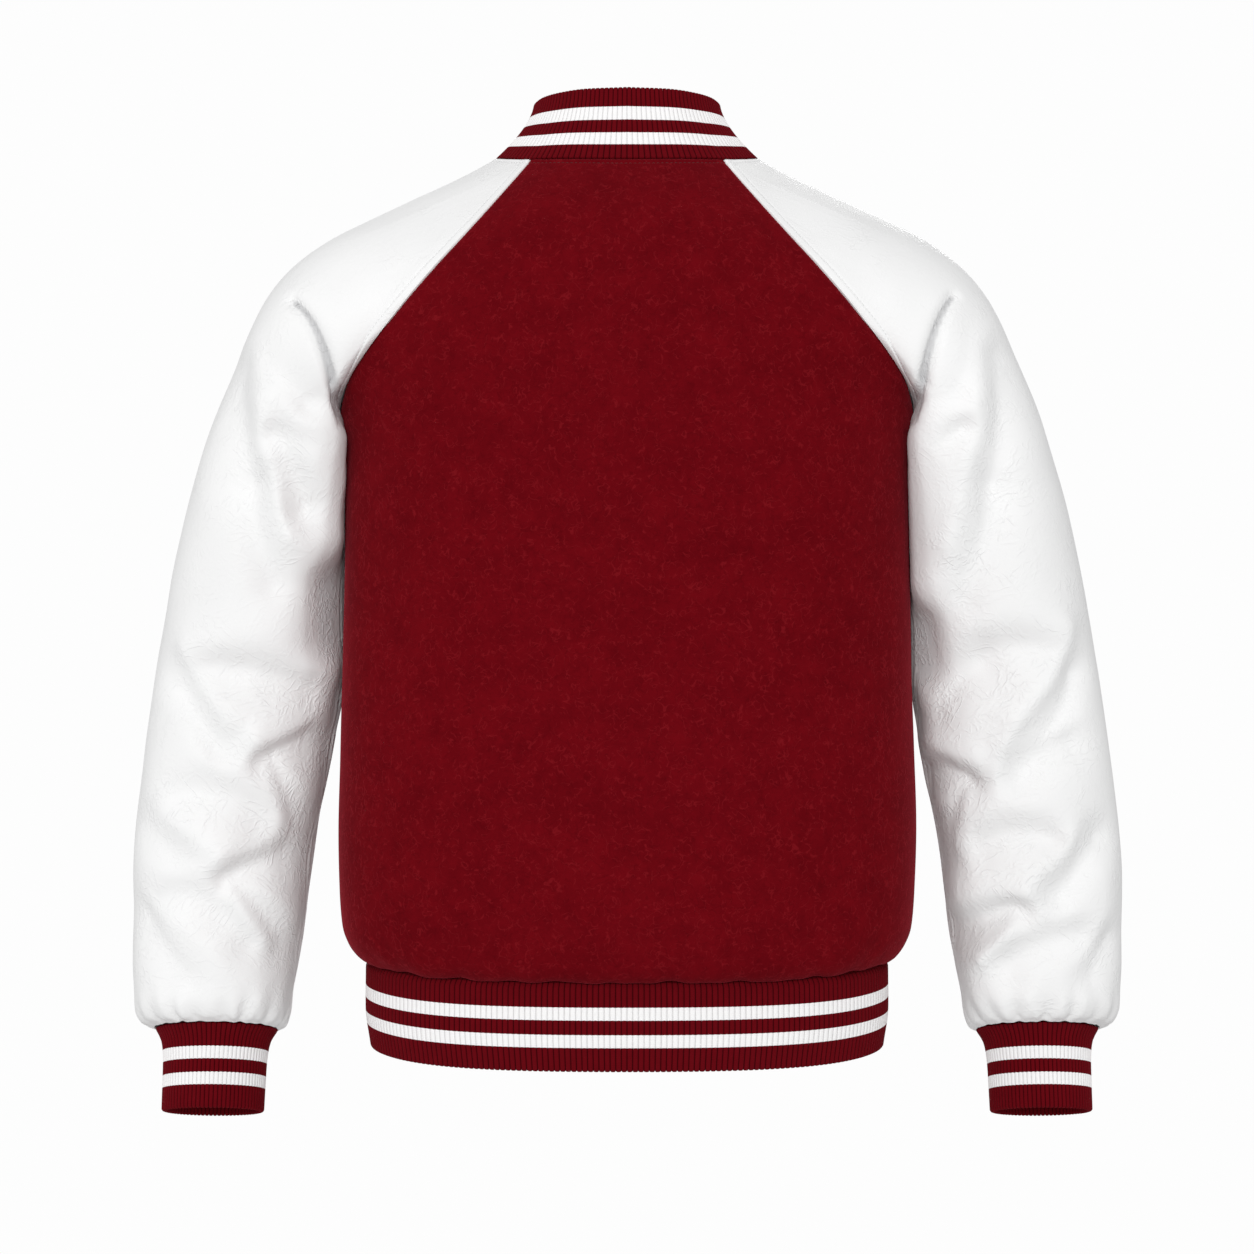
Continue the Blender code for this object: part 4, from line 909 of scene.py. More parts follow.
def wool_panel(grid, rows, face, folds, drape, seed):
    """A wool panel's normals, softly folded grid and distance from its raglan seams."""
    normals = grid_normals(grid, False)
    normals *= face * np.sign(normals[20, grid.shape[1] // 2 if face > 0 else 12, 1])
    gather, creased = fold_push(grid, folds)
    broad, _ = fold_push(grid, drape)
    height = grid[..., 2] - HEM_HEIGHT
    push = gather * fade((height - 30.0) / 26.0) + broad
    push += 0.7 * uneven(grid, 120.0, seed) * np.clip(height / 60.0, 0.0, 1.0)
    along = np.stack((grid[..., 0], grid[..., 1], grid[..., 2] * 0.12), axis=-1)
    push += 0.5 * uneven(along, 19.0, seed + 1) * np.exp(-((height / 13.0) ** 2))
    # The wool's soft folds die out towards the seams it shares with the sleeves.
    seam = curve_through(seam_of(face), np.linspace(0.0, 1.0, 500))
    top = grid[rows - 8 :]
    away = np.full(grid.shape[:2], 24.0)
    away[rows - 8 :] = np.minimum(nearest(top, seam), nearest(top, mirrored(seam)))
    push *= 1.0 - fade(away / 18.0)
    return {"grid": grid, "normals": normals, "soft": grid - normals * push[..., None],
            "creased": creased, "away": away, "face": face}


def panel_shape(panel, rows, seam_normals, wall):
    """The outer and inner grids of a wool panel, with its seams and edges rolled in."""
    grid, normals, face, away = (panel[key] for key in ("grid", "normals", "face", "away"))
    relief = -1.25 * hump(away, 1.5) + 0.3 * hump(away - 5.0, 3.5)
    side = np.zeros(grid.shape[:2])
    edge_gap = np.linalg.norm(grid - grid[:, -1:], axis=2)
    from_edge = np.linalg.norm(grid - grid[:, :1], axis=2)
    if face > 0:
        edge_gap = np.minimum(edge_gap, from_edge)
    side[:rows] = -0.9 * hump(edge_gap[:rows], 1.2) + 0.25 * hump(edge_gap[:rows] - 4.0, 2.5)
    from_neck = nearest(grid[-NECK_ROWS:], grid[-1])
    relief[-NECK_ROWS:] += -1.1 * hump(from_neck, 1.4) - 0.5 * hump(from_neck - NECK_STITCH, 0.85)
    relief[-NECK_ROWS:] += 0.35 * hump(from_neck - 2.6, 1.5)
    relief += side
    if face < 0:
        relief += -0.35 * hump(from_edge - EDGE_STITCH, 0.8) - 0.5 * hump(from_edge, 0.8)
    blend = normals.copy()
    pull = fade(away / 8.0)[rows:, :, None]
    edge = seam_normals[:, None] * np.ones((1, grid.shape[1], 1))
    if face > 0:
        edge[:, : grid.shape[1] // 2] *= (-1.0, 1.0, 1.0)
    blend[rows:] = unit(normals[rows:] * (1.0 - pull) + edge * pull)
    return {"outer": panel["soft"] + blend * relief[..., None],
            "inner": panel["soft"] - normals * wall, "normals": normals, "base": grid,
            "creased": panel["creased"], "from_neck": from_neck, "from_edge": from_edge}


def cloth_shapes(wool_wall, leather_wall, offset):
    """Outer and inner grids of the back, fronts and sleeves, with seams that meet."""
    if "cloth" in STORE:
        return STORE["cloth"]
    back, rows = panel_grid(1)
    front, _ = panel_grid(-1)
    sleeves = {side: sleeve_shape(side, offset) for side, _ in SIDES}
    panels = {
        "back": wool_panel(back, rows, 1, BACK_GATHERS, BACK_DRAPE, 3),
        "front_left": wool_panel(lift_left(front, STAND_LIFT), rows, -1, FRONT_GATHERS,
                                 FRONT_DRAPE, 5),
        "front_right": wool_panel(front, rows, -1, FRONT_GATHERS, FRONT_DRAPE, 8),
    }

    # One way out along each raglan seam, shared by the wool and the leather.
    _, _, spans = sleeve_edge()
    first = sleeves["left"][1][0]
    seam_normals = {}
    for face, name, mate in (
        (1, "back", first[spans["back"]]),
        (-1, "front_left", np.concatenate((first[:1], first[spans["front"]][::-1]))),
    ):
        seam_normals[face] = unit(panels[name]["normals"][rows:, -1] + mate)

    shapes = {name: panel_shape(panel, rows, seam_normals[panel["face"]], wool_wall)
              for name, panel in panels.items()}
    for side, (grid, normals, relief, creased) in sleeves.items():
        edge = normals[0].copy()
        edge[spans["back"]] = seam_normals[1]
        edge[spans["front"]] = seam_normals[-1][:0:-1]
        pull = fade(np.linalg.norm(grid - grid[:1], axis=2) / 8.0)[..., None]
        blend = unit(normals * (1.0 - pull) + edge[None] * pull)
        inner = grid - normals * leather_wall
        inner[0] = grid[0] - edge * leather_wall
        shapes["sleeve_" + side] = {"outer": grid + blend * relief[..., None], "inner": inner,
                                    "normals": normals, "creased": creased, "base": grid}
    STORE["cloth"] = shapes
    return shapes


# ---------------------------------------------------------------- meshes


def sheet_faces(rows, columns, wrap, first=0, close=False):
    """Faces of a grid of points, which may also close across its columns or its rows."""
    spans = columns if wrap else columns - 1
    r, c = np.meshgrid(np.arange(rows if close else rows - 1), np.arange(spans), indexing="ij")
    low, high = first + r * columns, first + (r + 1) % rows * columns
    right = (c + 1) % columns
    return np.stack((low + c, low + right, high + right, high + c), axis=-1).reshape(-1, 4)


def wall_faces(rows, outer_columns, inner_columns, wrap):
    """Faces of a wall whose inner grid may have half the outer grid's columns."""
    inner_spans = inner_columns if wrap else inner_columns - 1
    ratio = (outer_columns if wrap else outer_columns - 1) // inner_spans
    start = rows * outer_columns
    faces = sheet_faces(rows, outer_columns, wrap).tolist()
    faces += sheet_faces(rows, inner_columns, wrap, start)[:, ::-1].tolist()
    for r in (0, rows - 1):
        for c in range(inner_spans):
            first = c * ratio
            middle = first + (ratio + 1) // 2
            left = start + r * inner_columns + c
            right = start + r * inner_columns + (c + 1) % inner_columns
            for k in range(first, first + ratio):
                owner = left if k < middle else right
                faces.append((r * outer_columns + k, owner,
                              r * outer_columns + (k + 1) % outer_columns))
            faces.append((left, right, r * outer_columns + middle % outer_columns))
    if not wrap:
        for c_out, c_in in ((0, 0), (outer_columns - 1, inner_columns - 1)):
            for r in range(rows - 1):
                a, b = r * outer_columns + c_out, start + r * inner_columns + c_in
                faces.append((a, a + outer_columns, b + inner_columns, b))
    return faces


def tube_faces(rings, sides, first=0):
    """Faces of a stack of rings of points, closed at both ends."""
    faces = sheet_faces(rings, sides, True, first).tolist()
    last = first + (rings - 1) * sides
    return faces + [list(range(first, first + sides)), list(range(last, last + sides))]


def linked(name, data):
    """A new object in the scene."""
    made = bpy.data.objects.new(name, data)
    bpy.context.scene.collection.objects.link(made)
    return made


def make_piece(name, points, faces, material, uv=None, marks=None):
    """A closed piece, its faces turned outward, shaded smooth, with one finish."""
    mesh = bpy.data.meshes.new(name)
    mesh.from_pydata((np.asarray(points) * MM).tolist(), [], faces)
    work = bmesh.new()
    work.from_mesh(mesh)
    bmesh.ops.recalc_face_normals(work, faces=work.faces)
    if work.calc_volume(signed=True) < 0.0:
        bmesh.ops.reverse_faces(work, faces=work.faces)
    work.to_mesh(mesh)
    work.free()
    mesh.polygons.foreach_set("use_smooth", [True] * len(mesh.polygons))
    for mark, values in (marks or {}).items():
        mesh.attributes.new(mark, "FLOAT", "POINT").data.foreach_set("value", values.ravel())
    if uv is not None:
        corner = np.zeros(len(mesh.loops), dtype=np.int32)
        mesh.loops.foreach_get("vertex_index", corner)
        mesh.uv_layers.new(name="knit").data.foreach_set("uv", uv[corner].ravel())
    mesh.materials.append(material)
    return linked(name, mesh)


def cloth_piece(name, shape, wrap, flip, material):
    """A thin cloth shell from its outer and inner grids."""
    outer, inner, creased = shape["outer"], shape["inner"][:, ::2], shape["creased"]
    points = np.concatenate((outer.reshape(-1, 3), inner.reshape(-1, 3)))
    if flip:
        points = mirrored(points)
    marks = np.concatenate((creased.ravel(), creased[:, ::2].ravel()))
    faces = wall_faces(len(outer), outer.shape[1], inner.shape[1], wrap)
    return make_piece(name, points, faces, material, marks={"creased": marks})


def declare(piece, node):
    """Put a cloth piece on the frame in place of its node."""
    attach(piece, "root")
    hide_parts(node)


# ---------------------------------------------------------------- rib knit

KNIT_TAIL = ((3.0, 2.6), (1.6, 2.2), (0.5, 1.0))  # up into the seam, and inward
RIB_SPOTS = np.array((0.0, 0.11, 0.29, 0.5, 0.71, 0.89))
RIB_RISE = np.array((0.0, 0.70, 0.97, 1.0, 0.97, 0.70))
RIB_SINK = 0.16  # how much of a rib's height lies below the surface that it is knitted on


def rib_fractions(ribs, wrap):
    """Fractions round a knit piece for each column of its ribs, the rise and rib number."""
    number = (np.arange(ribs)[:, None] + RIB_SPOTS[None]).ravel()
    rise = np.tile(RIB_RISE, ribs)
    if not wrap:
        number = np.append(number, float(ribs))
        rise = np.append(rise, 0.0)
    return number / ribs, rise, number


def knit_levels(starts, wall, height):
    """Levels of a knit piece's rows, from its seam to its folded rim."""
    return np.concatenate((starts, np.linspace(0.09, 1.0 - wall * 0.5 / height, 17)))


def knit_piece(name, surface, out, up, levels, read, rise, number, wrap, flip, material):
    """A folded band of rib knit, with its fold at the last level.

    surface(level) gives a row of points, out their outward directions, up the way to the fold.
    """
    wall, height = read["knit_wall"], read["rib_height"]
    rows, ribs_up = [], []
    seam = surface(levels[0])
    for down, inward in KNIT_TAIL:
        rows.append(seam - up * down - out * inward)
        ribs_up.append(levels[0])
    for level in levels:
        rows.append(surface(level) + out * ((rise - RIB_SINK) * height)[:, None])
        ribs_up.append(level)
    radius = wall * 0.5
    top = surface(levels[-1])
    for angle in np.radians((22.0, 52.0, 90.0, 128.0, 158.0)):
        reach = radius + (rise - RIB_SINK) * height
        rows.append(top - out * radius + out * (math.cos(angle) * reach)[:, None]
                    + up * (math.sin(angle) * reach)[:, None])
        ribs_up.append(levels[-1] + 0.02)
    for level in levels[::-2]:
        rows.append(surface(level) - out * (wall + (rise * 0.8) * height)[:, None])
        ribs_up.append(level)
    for down, inward in KNIT_TAIL[::-1]:
        rows.append(seam - up * down - out * (inward + wall))
        ribs_up.append(levels[0])
    count, columns = len(rows), len(rise)
    faces = sheet_faces(count, columns, wrap, close=True).tolist()
    if not wrap:
        faces.append(list(range(0, count * columns, columns)))
        faces.append(list(range(columns - 1, count * columns, columns)))
    points = np.concatenate(rows)
    uv = np.stack(np.broadcast_arrays(number[None, :], np.array(ribs_up)[:, None]), axis=-1)
    return make_piece(name, mirrored(points) if flip else points, faces, material,
                      uv=uv.reshape(-1, 2))


def collar_half(neckline, fractions):
    """Base and top lines of one half of the collar, from the middle of the back."""
    front = neckline["front"]
    before = front[front[:, 0] > COLLAR_END_X][::-1]
    after = front[front[:, 0] <= COLLAR_END_X][::-1]
    share = (before[-1, 0] - COLLAR_END_X) / (before[-1, 0] - after[0, 0])
    end = before[-1] + (after[0] - before[-1]) * share
    path = np.concatenate((neckline["back"], neckline["sleeve"][1:], before[1:], end[None]))
    length = distance_along(path)[-1]
    base = at_distances(path, fractions * length)
    top = np.stack([read_table(COLLAR_TOP, k, fractions) for k in (1, 2, 3)], axis=1)
    left = length * (1.0 - fractions)
    short = np.clip(COLLAR_END_ROUNDING - left, 0.0, COLLAR_END_ROUNDING)
    cut = COLLAR_END_ROUNDING - np.sqrt(COLLAR_END_ROUNDING**2 - short**2)
    full = np.linalg.norm(top - base, axis=1)
    return base, base + (top - base) * (1.0 - cut / full)[:, None]


# ---------------------------------------------------------------- stitches

STITCH_SHARE = 0.74  # how much of the pitch a stitch shows
STITCH_SIDES = 6
STITCH_PROFILE = (  # along, thickness, rise
    (0.0, 0.25, -0.9), (0.12, 0.8, -0.2), (0.5, 1.0, 0.45), (0.88, 0.8, -0.2), (1.0, 0.25, -0.9),
)
SEAM_THREAD = 0.26
EDGE_THREAD = 0.24


def stitch_row(name, line, normals, pitch, radius, material):
    """A row of short stitches lying in the cloth along a line of points."""
    along = distance_along(line)
    points, faces = [], []
    for k in range(max(int(along[-1] / pitch), 1)):
        start = (k + 0.5 * (1.0 - STITCH_SHARE)) * pitch
        spots = np.array([start + STITCH_SHARE * pitch * p[0] for p in STITCH_PROFILE])
        centre = np.stack([np.interp(spots, along, line[:, j]) for j in range(3)], axis=1)
        out = unit(np.stack([np.interp(spots, along, normals[:, j]) for j in range(3)], axis=1))
        way = unit(centre[-1] - centre[0])
        across = unit(np.cross(way, out))
        faces += tube_faces(len(STITCH_PROFILE), STITCH_SIDES, len(points))
        for (_, size, rise), c, n, s in zip(STITCH_PROFILE, centre, out, across):
            for i in range(STITCH_SIDES):
                angle = 2.0 * math.pi * i / STITCH_SIDES
                points.append(c + n * (rise * radius) + s * (math.cos(angle) * size * radius)
                              + n * (math.sin(angle) * size * radius))
    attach(make_piece(name, np.array(points), faces, material), "root")


def sew(name, points, normals, away, level, flip, pitch, radius, thread):
    """Sew a row of stitches where the distance away, down each column, reaches a level."""
    line, out = [], []
    for column in range(away.shape[1]):
        v = away[:, column]
        cross = np.nonzero((v[:-1] < level) & (v[1:] >= level))[0]
        if len(cross):
            k = cross[0]
            t = (level - v[k]) / (v[k + 1] - v[k])
            line.append(points[k, column] * (1.0 - t) + points[k + 1, column] * t)
            out.append(normals[k, column])
    line, out = np.array(line), np.array(out)
    if flip:
        line, out = mirrored(line), mirrored(out)
    stitch_row(name, line, out, pitch, radius, thread)


# ---------------------------------------------------------------- finishes

THREAD_WHITE = (0.80, 0.80, 0.80)
# Grey of the painted shade in the tight folds and the pockets of the leather.
PAINTED_SHADE_GREY = (0.46, 0.46, 0.47)
WOOL_STRANDS = (  # scale, shift, width
    (118.0, 0.0, 0.026), (150.0, 3.1, 0.030), (96.0, 5.7, 0.024), (135.0, 8.3, 0.028),
)
LEATHER_WRINKLES = (  # turn, stretch, scale, width
    ((0.2, 0.25, 0.1), 3.0, 150.0, 0.080),
    ((0.1, -0.65, 0.2), 3.2, 170.0, 0.080),
    ((0.0, 0.95, 0.1), 2.6, 190.0, 0.085),
)
RED_SHEEN = (0.90, 0.10, 0.14, 1.0)
KNIT_ROW = 1.25  # height of a row of knit stitches
STRIPE_WAVE = 0.5  # how far the edge of a stripe dips from the middle of a rib to its side


def feed(tree, socket, value):
    """Link a socket to the one given, or set it to the value given."""
    if isinstance(value, bpy.types.NodeSocket):
        tree.links.new(value, socket)
    elif value is not None:
        socket.default_value = value


def feed_all(tree, node, **inputs):
    """Feed the inputs of a node by their names, written with _ for a space."""
    for key, value in inputs.items():
        feed(tree, node.inputs[key.replace("_", " ")], value)


def add(tree, kind, traits=None, **inputs):
    """Add a shader node, with its traits and its inputs, which are values or sockets."""
    node = tree.nodes.new(kind)
    for key, value in (traits or {}).items():
        setattr(node, key, value)
    feed_all(tree, node, **inputs)
    return node


def maths(tree, operation, a, b=None, c=None, clamp=False):
    """A maths node's result."""
    node = add(tree, "ShaderNodeMath", {"operation": operation, "use_clamp": clamp})
    for socket, value in zip(node.inputs, (a, b, c)):
        feed(tree, socket, value)
    return node.outputs[0]


def times(tree, a, b):
    """The product of two values or sockets."""
    return maths(tree, "MULTIPLY", a, b)


def greater(tree, a, b):
    """The greater of two values or sockets."""
    return maths(tree, "MAXIMUM", a, b)


def off_middle(tree, value):
    """How far a value lies from a half."""
    return maths(tree, "ABSOLUTE", maths(tree, "SUBTRACT", value, 0.5))


def blended(tree, factor, first, second):
    """Two colours, each a triple or a socket, blended by a factor."""
    node = add(tree, "ShaderNodeMix", {"data_type": "RGBA"})
    feed(tree, node.inputs[0], factor)
    for socket, value in ((node.inputs[6], first), (node.inputs[7], second)):
        feed(tree, socket, value if isinstance(value, bpy.types.NodeSocket) else (*value, 1.0))
    return node.outputs[2]


def ramp(tree, value, low, high):
    """A value stretched so that low becomes 0 and high becomes 1, with soft ends."""
    return add(tree, "ShaderNodeMapRange", {"interpolation_type": "SMOOTHSTEP"},
               Value=value, From_Min=low, From_Max=high).outputs[0]


def place(tree, stretch=(1.0, 1.0, 1.0), turn=(0.0, 0.0, 0.0), kind="POINT"):
    """Coordinates of the cloth in the jacket's own frame, stretched and turned."""
    coordinates = add(tree, "ShaderNodeTexCoord")
    return add(tree, "ShaderNodeMapping", {"vector_type": kind}, Scale=stretch, Rotation=turn,
               Vector=coordinates.outputs["Object"]).outputs[0]


def noise(tree, where, scale, detail=2.0, roughness=0.5, distortion=0.0):
    """Cloudy noise in the cloth's own frame."""
    return add(tree, "ShaderNodeTexNoise", Vector=where, Scale=scale, Detail=detail,
               Roughness=roughness, Distortion=distortion).outputs["Fac"]


def thin_lines(tree, where, scale, width, wander):
    """Thin curling lines, 1 along their middle and 0 beside them."""
    field = noise(tree, where, scale, 1.5, 0.45, wander)
    return ramp(tree, off_middle(tree, field), width, 0.0)


def bump(tree, height, distance, strength, under=None):
    """A bump, on top of another one if that is given."""
    return add(tree, "ShaderNodeBump", Height=height, Distance=distance, Strength=strength,
               Normal=under).outputs[0]


def shade(colour, by):
    """A colour made darker."""
    return tuple(value * by for value in colour)


def finish(name, dress, *details):
    """A named finish, made once, whose shader a function dresses."""
    if name not in bpy.data.materials:
        material = bpy.data.materials.new(name)
        material.use_nodes = True
        tree = material.node_tree
        dress(tree, tree.nodes["Principled BSDF"], *details)
    return bpy.data.materials[name]


def felted_wool(tree, shader, colours):
    """Felted wool: short matted fibres that curl every way, over soft clouds of colour."""
    where = place(tree)
    strands = []
    for scale, shift, width in WOOL_STRANDS:
        shifted = add(tree, "ShaderNodeMapping", Vector=where,
                      Location=(shift, shift * 0.7, 0.0)).outputs[0]
        strand = thin_lines(tree, shifted, scale, width, 0.5)
        broken = ramp(tree, noise(tree, shifted, scale * 1.1, 1.0), 0.46, 0.56)
        strands.append(times(tree, strand, broken))
    fibres = greater(tree, strands[0], strands[1])
    parted = greater(tree, strands[2], strands[3])
    fuzz = noise(tree, where, 1500.0, 2.0, 0.6)
    clouds = noise(tree, where, 72.0, 3.0, 0.62)
    drifts = noise(tree, where, 26.0)
    patches = noise(tree, where, 260.0, 2.0, 0.6, 0.8)
    tone = maths(tree, "MULTIPLY_ADD", clouds, 0.50, times(tree, fuzz, 0.25))
    tone = maths(tree, "MULTIPLY_ADD", drifts, 0.35, tone)
    tone = maths(tree, "MULTIPLY_ADD", patches, 0.30, tone)
    colour = blended(tree, ramp(tree, tone, 0.42, 0.98), colours.wool_dark, colours.wool)
    pale = tuple(min(value * 1.30 + 0.004, 1.0) for value in colours.wool)
    colour = blended(tree, times(tree, parted, 0.40), colour, shade(colours.wool_dark, 0.80))
    colour = blended(tree, times(tree, fibres, 0.60), colour, pale)
    nap = bump(tree, patches, 0.0007, 0.30)
    nap = bump(tree, fibres, 0.00035, 0.5, nap)
    feed_all(tree, shader, Base_Color=colour, Roughness=0.95, Specular_IOR_Level=0.02,
             Sheen_Weight=0.26, Sheen_Roughness=0.4, Sheen_Tint=RED_SHEEN,
             Normal=bump(tree, fuzz, 0.00025, 0.45, nap))


def white_leather(tree, shader, colours):
    """Soft leather: a fine pebbled grain, with small broken wrinkles where it creases, and painted
    shade greyed into its tight folds and the pockets beside the body.
    """
    where = place(tree)
    creased = add(tree, "ShaderNodeAttribute", {"attribute_name": "creased"}).outputs["Fac"]
    pebbles = add(tree, "ShaderNodeTexVoronoi", {"feature": "SMOOTH_F1"}, Vector=where,
                  Scale=760.0, Smoothness=0.4).outputs["Distance"]
    areas = ramp(tree, noise(tree, where, 26.0), 0.46, 0.68)
    mask = maths(tree, "MULTIPLY_ADD", creased, 0.45,
                 maths(tree, "MULTIPLY_ADD", areas, 0.40, 0.20), clamp=True)
    wrinkles = None
    for turn, stretch, scale, width in LEATHER_WRINKLES:
        turned = place(tree, (stretch, 1.0, 1.0), turn, "TEXTURE")
        lines = thin_lines(tree, turned, scale, width, 0.1)
        lines = times(tree, lines, ramp(tree, noise(tree, turned, scale * 0.42, 1.0), 0.46, 0.58))
        wrinkles = lines if wrinkles is None else greater(tree, wrinkles, lines)
    height = times(tree, wrinkles, mask)
    soft = noise(tree, where, 55.0, 2.0, 0.5, 0.5)
    tone = noise(tree, where, 9.0)
    colour = blended(tree, ramp(tree, tone, 0.3, 0.7), shade(colours.leather, 0.955),
                     colours.leather)
    # Painted shade: where the mark goes above 1, the leather is greyed.
    painted_shade_amount = times(tree, ramp(tree, creased, 1.0, 2.0), 0.68)
    colour = blended(tree, painted_shade_amount, colour, PAINTED_SHADE_GREY)
    worn = maths(tree, "MULTIPLY_ADD", tone, 0.10, 0.50)
    rough = bump(tree, soft, 0.0012, 0.05)
    rough = bump(tree, height, 0.00058, 0.62, rough)
    feed_all(tree, shader, Base_Color=colour, Roughness=worn, Specular_IOR_Level=0.34,
             Normal=bump(tree, pebbles, 0.00020, 0.25, rough))


def rib_knit(tree, shader, colours, stripes, height):
    """Rib knit: rows of small V stitches up each rib, with two stripes knitted in.

    The edges of the stripes follow its rows, which dip between the ribs. Painted shade darkens
    the furrows between the ribs.
    """
    layout = add(tree, "ShaderNodeUVMap", {"uv_map": "knit"}).outputs[0]
    split = add(tree, "ShaderNodeSeparateXYZ", Vector=layout)
    across, up = split.outputs[0], split.outputs[1]
    side = off_middle(tree, maths(tree, "FRACT", across))
    stitch = KNIT_ROW / height
    slant = maths(tree, "MULTIPLY_ADD", side, 0.9, maths(tree, "DIVIDE", up, stitch))
    vees = ramp(tree, off_middle(tree, maths(tree, "FRACT", slant)), 0.04, 0.36)
    furrow = ramp(tree, side, 0.5, 0.34)
    wave = maths(tree, "MULTIPLY_ADD", side, -STRIPE_WAVE / height, up)
    white = None
    for start, end in (stripes[:2], stripes[2:]):
        soft = 0.10 / height
        inside = times(tree, ramp(tree, wave, start - soft, start + soft),
                       ramp(tree, wave, end + soft, end - soft))
        white = inside if white is None else greater(tree, white, inside)
    where = place(tree)
    fluff = noise(tree, where, 1900.0, 2.0, 0.6)
    clouds = noise(tree, where, 120.0)
    tone = maths(tree, "MULTIPLY_ADD", fluff, 0.5, times(tree, clouds, 0.5))
    body = blended(tree, tone, shade(colours.knit, 0.62), colours.knit)
    # Painted shade: the furrows between the ribs are darkened, in the red and in the stripes.
    body = blended(tree, furrow, shade(colours.knit, 0.22), body)
    pale = blended(tree, furrow, shade(colours.stripe, 0.74), colours.stripe)
    colour = blended(tree, white, body, pale)
    knit = bump(tree, vees, 0.00035, 0.5)
    feed_all(tree, shader, Base_Color=colour, Roughness=0.9, Specular_IOR_Level=0.03,
             Sheen_Weight=0.08, Sheen_Roughness=0.5, Sheen_Tint=RED_SHEEN,
             Normal=bump(tree, fluff, 0.00015, 0.4, knit))


def sewing_thread(tree, shader, colour):
    """Twisted sewing thread."""
    twist = noise(tree, place(tree, turn=(0.5, 0.8, 0.0)), 3200.0, 1.0)
    feed_all(tree, shader, Base_Color=blended(tree, twist, shade(colour, 0.8), colour),
             Roughness=0.6, Normal=bump(tree, twist, 0.0001, 0.5))


def satin_metal(tree, shader, colours):
    """Satin metal with faint rubbing."""
    rubbed = noise(tree, place(tree), 700.0, 3.0, 0.6)
    feed_all(tree, shader, Metallic=1.0,
             Base_Color=blended(tree, rubbed, shade(colours.metal, 0.86), colours.metal),
             Roughness=maths(tree, "MULTIPLY_ADD", rubbed, 0.16, 0.2),
             Normal=bump(tree, rubbed, 0.00004, 0.3))


# ---------------------------------------------------------------- operators


def settings(context):
    """The sizes in millimetres and the colours."""
    sizes, colours = context.scene.jacket_sizes, context.scene.jacket_colours
    read = {key: getattr(sizes, key) / MM for key in
            ("wool_wall", "leather_wall", "knit_wall", "rib_height", "topstitch_offset",
             "stitch_pitch", "snap_radius")}
    return read, colours


def shapes_for(read):
    """The cloth shapes for the current sizes."""
    return cloth_shapes(read["wool_wall"], read["leather_wall"], read["topstitch_offset"])


def make_wool(name, flip, read, colours, flat):
    """Make a wool panel and put it on the frame."""
    shape = shapes_for(read)[name]
    wool = finish("felted_wool", felted_wool, colours)
    piece = cloth_piece("wool_" + name, shape, False, flip, wool)
    declare(piece, name)


class JACKET_OT_back(bpy.types.Operator):
    """Cut and shape the wool back"""

    bl_idname = "jacket.back"
    bl_label = "Back"

    def execute(self, context):
        make_wool("back", False, *settings(context), (0.565, 0.60))
        return {"FINISHED"}


class JACKET_OT_fronts(bpy.types.Operator):
    """Cut and shape the two wool fronts, the left one over the right one"""

    bl_idname = "jacket.fronts"
    bl_label = "Fronts"

    def execute(self, context):
        for side, flip in SIDES:
            make_wool("front_" + side, flip, *settings(context), (0.30, 0.58))
        return {"FINISHED"}


class JACKET_OT_sleeves(bpy.types.Operator):
    """Cut and shape the two leather sleeves"""

    bl_idname = "jacket.sleeves"
    bl_label = "Sleeves"

    def execute(self, context):
        read, colours = settings(context)
        leather = finish("white_leather", white_leather, colours)
        for side, flip in SIDES:
            shape = shapes_for(read)["sleeve_" + side]
            piece = cloth_piece("leather_sleeve_" + side, shape, True, flip, leather)
            declare(piece, "sleeve_" + side)
        return {"FINISHED"}


class JACKET_OT_collar(bpy.types.Operator):
    """Knit the stand collar, open in front"""

    bl_idname = "jacket.collar"
    bl_label = "Collar"

    def execute(self, context):
        read, colours = settings(context)
        shapes = shapes_for(read)
        fractions, rise, number = rib_fractions(COLLAR_RIBS // 2, False)
        back, sleeve = shapes["back"]["base"], shapes["sleeve_left"]["base"]
        _, _, spans = sleeve_edge()
        halves = {side: collar_half({
            "back": back[-1, back.shape[1] // 2 :],
            "sleeve": sleeve[0, spans["neck"]],
            "front": shapes["front_" + side]["base"][-1],
        }, fractions) for side, _ in SIDES}
        base, top = (np.concatenate((mirrored(right)[::-1], left[1:]))
                     for right, left in zip(halves["right"], halves["left"]))
        rises = np.concatenate((rise[::-1], rise[1:]))
        numbers = np.concatenate((-number[::-1], number[1:]))

        def surface(level):
            inward = 1.0 - (1.0 - level) ** COLLAR_FLARE_POWER
            flat = base + (top - base) * inward
            flat[:, 2] = base[:, 2] + (top[:, 2] - base[:, 2]) * level
            return flat

        levels = knit_levels(COLLAR_SEAM_LEVELS, read["knit_wall"], COLLAR_HEIGHT)
        out = grid_normals(np.array((surface(0.35), surface(0.65))), False)[0]
        out *= np.sign(out[len(out) // 2, 1])
        out[:, 2] *= 0.4
        out = unit(out)
        up = unit(surface(1.0) - surface(0.85))
        knit = finish("collar_knit", rib_knit, colours, COLLAR_STRIPES, COLLAR_KNIT_HEIGHT)
        piece = knit_piece("knit_collar", surface, out, up, levels, read, rises, numbers,
                           False, False, knit)
        declare(piece, "collar")
        return {"FINISHED"}


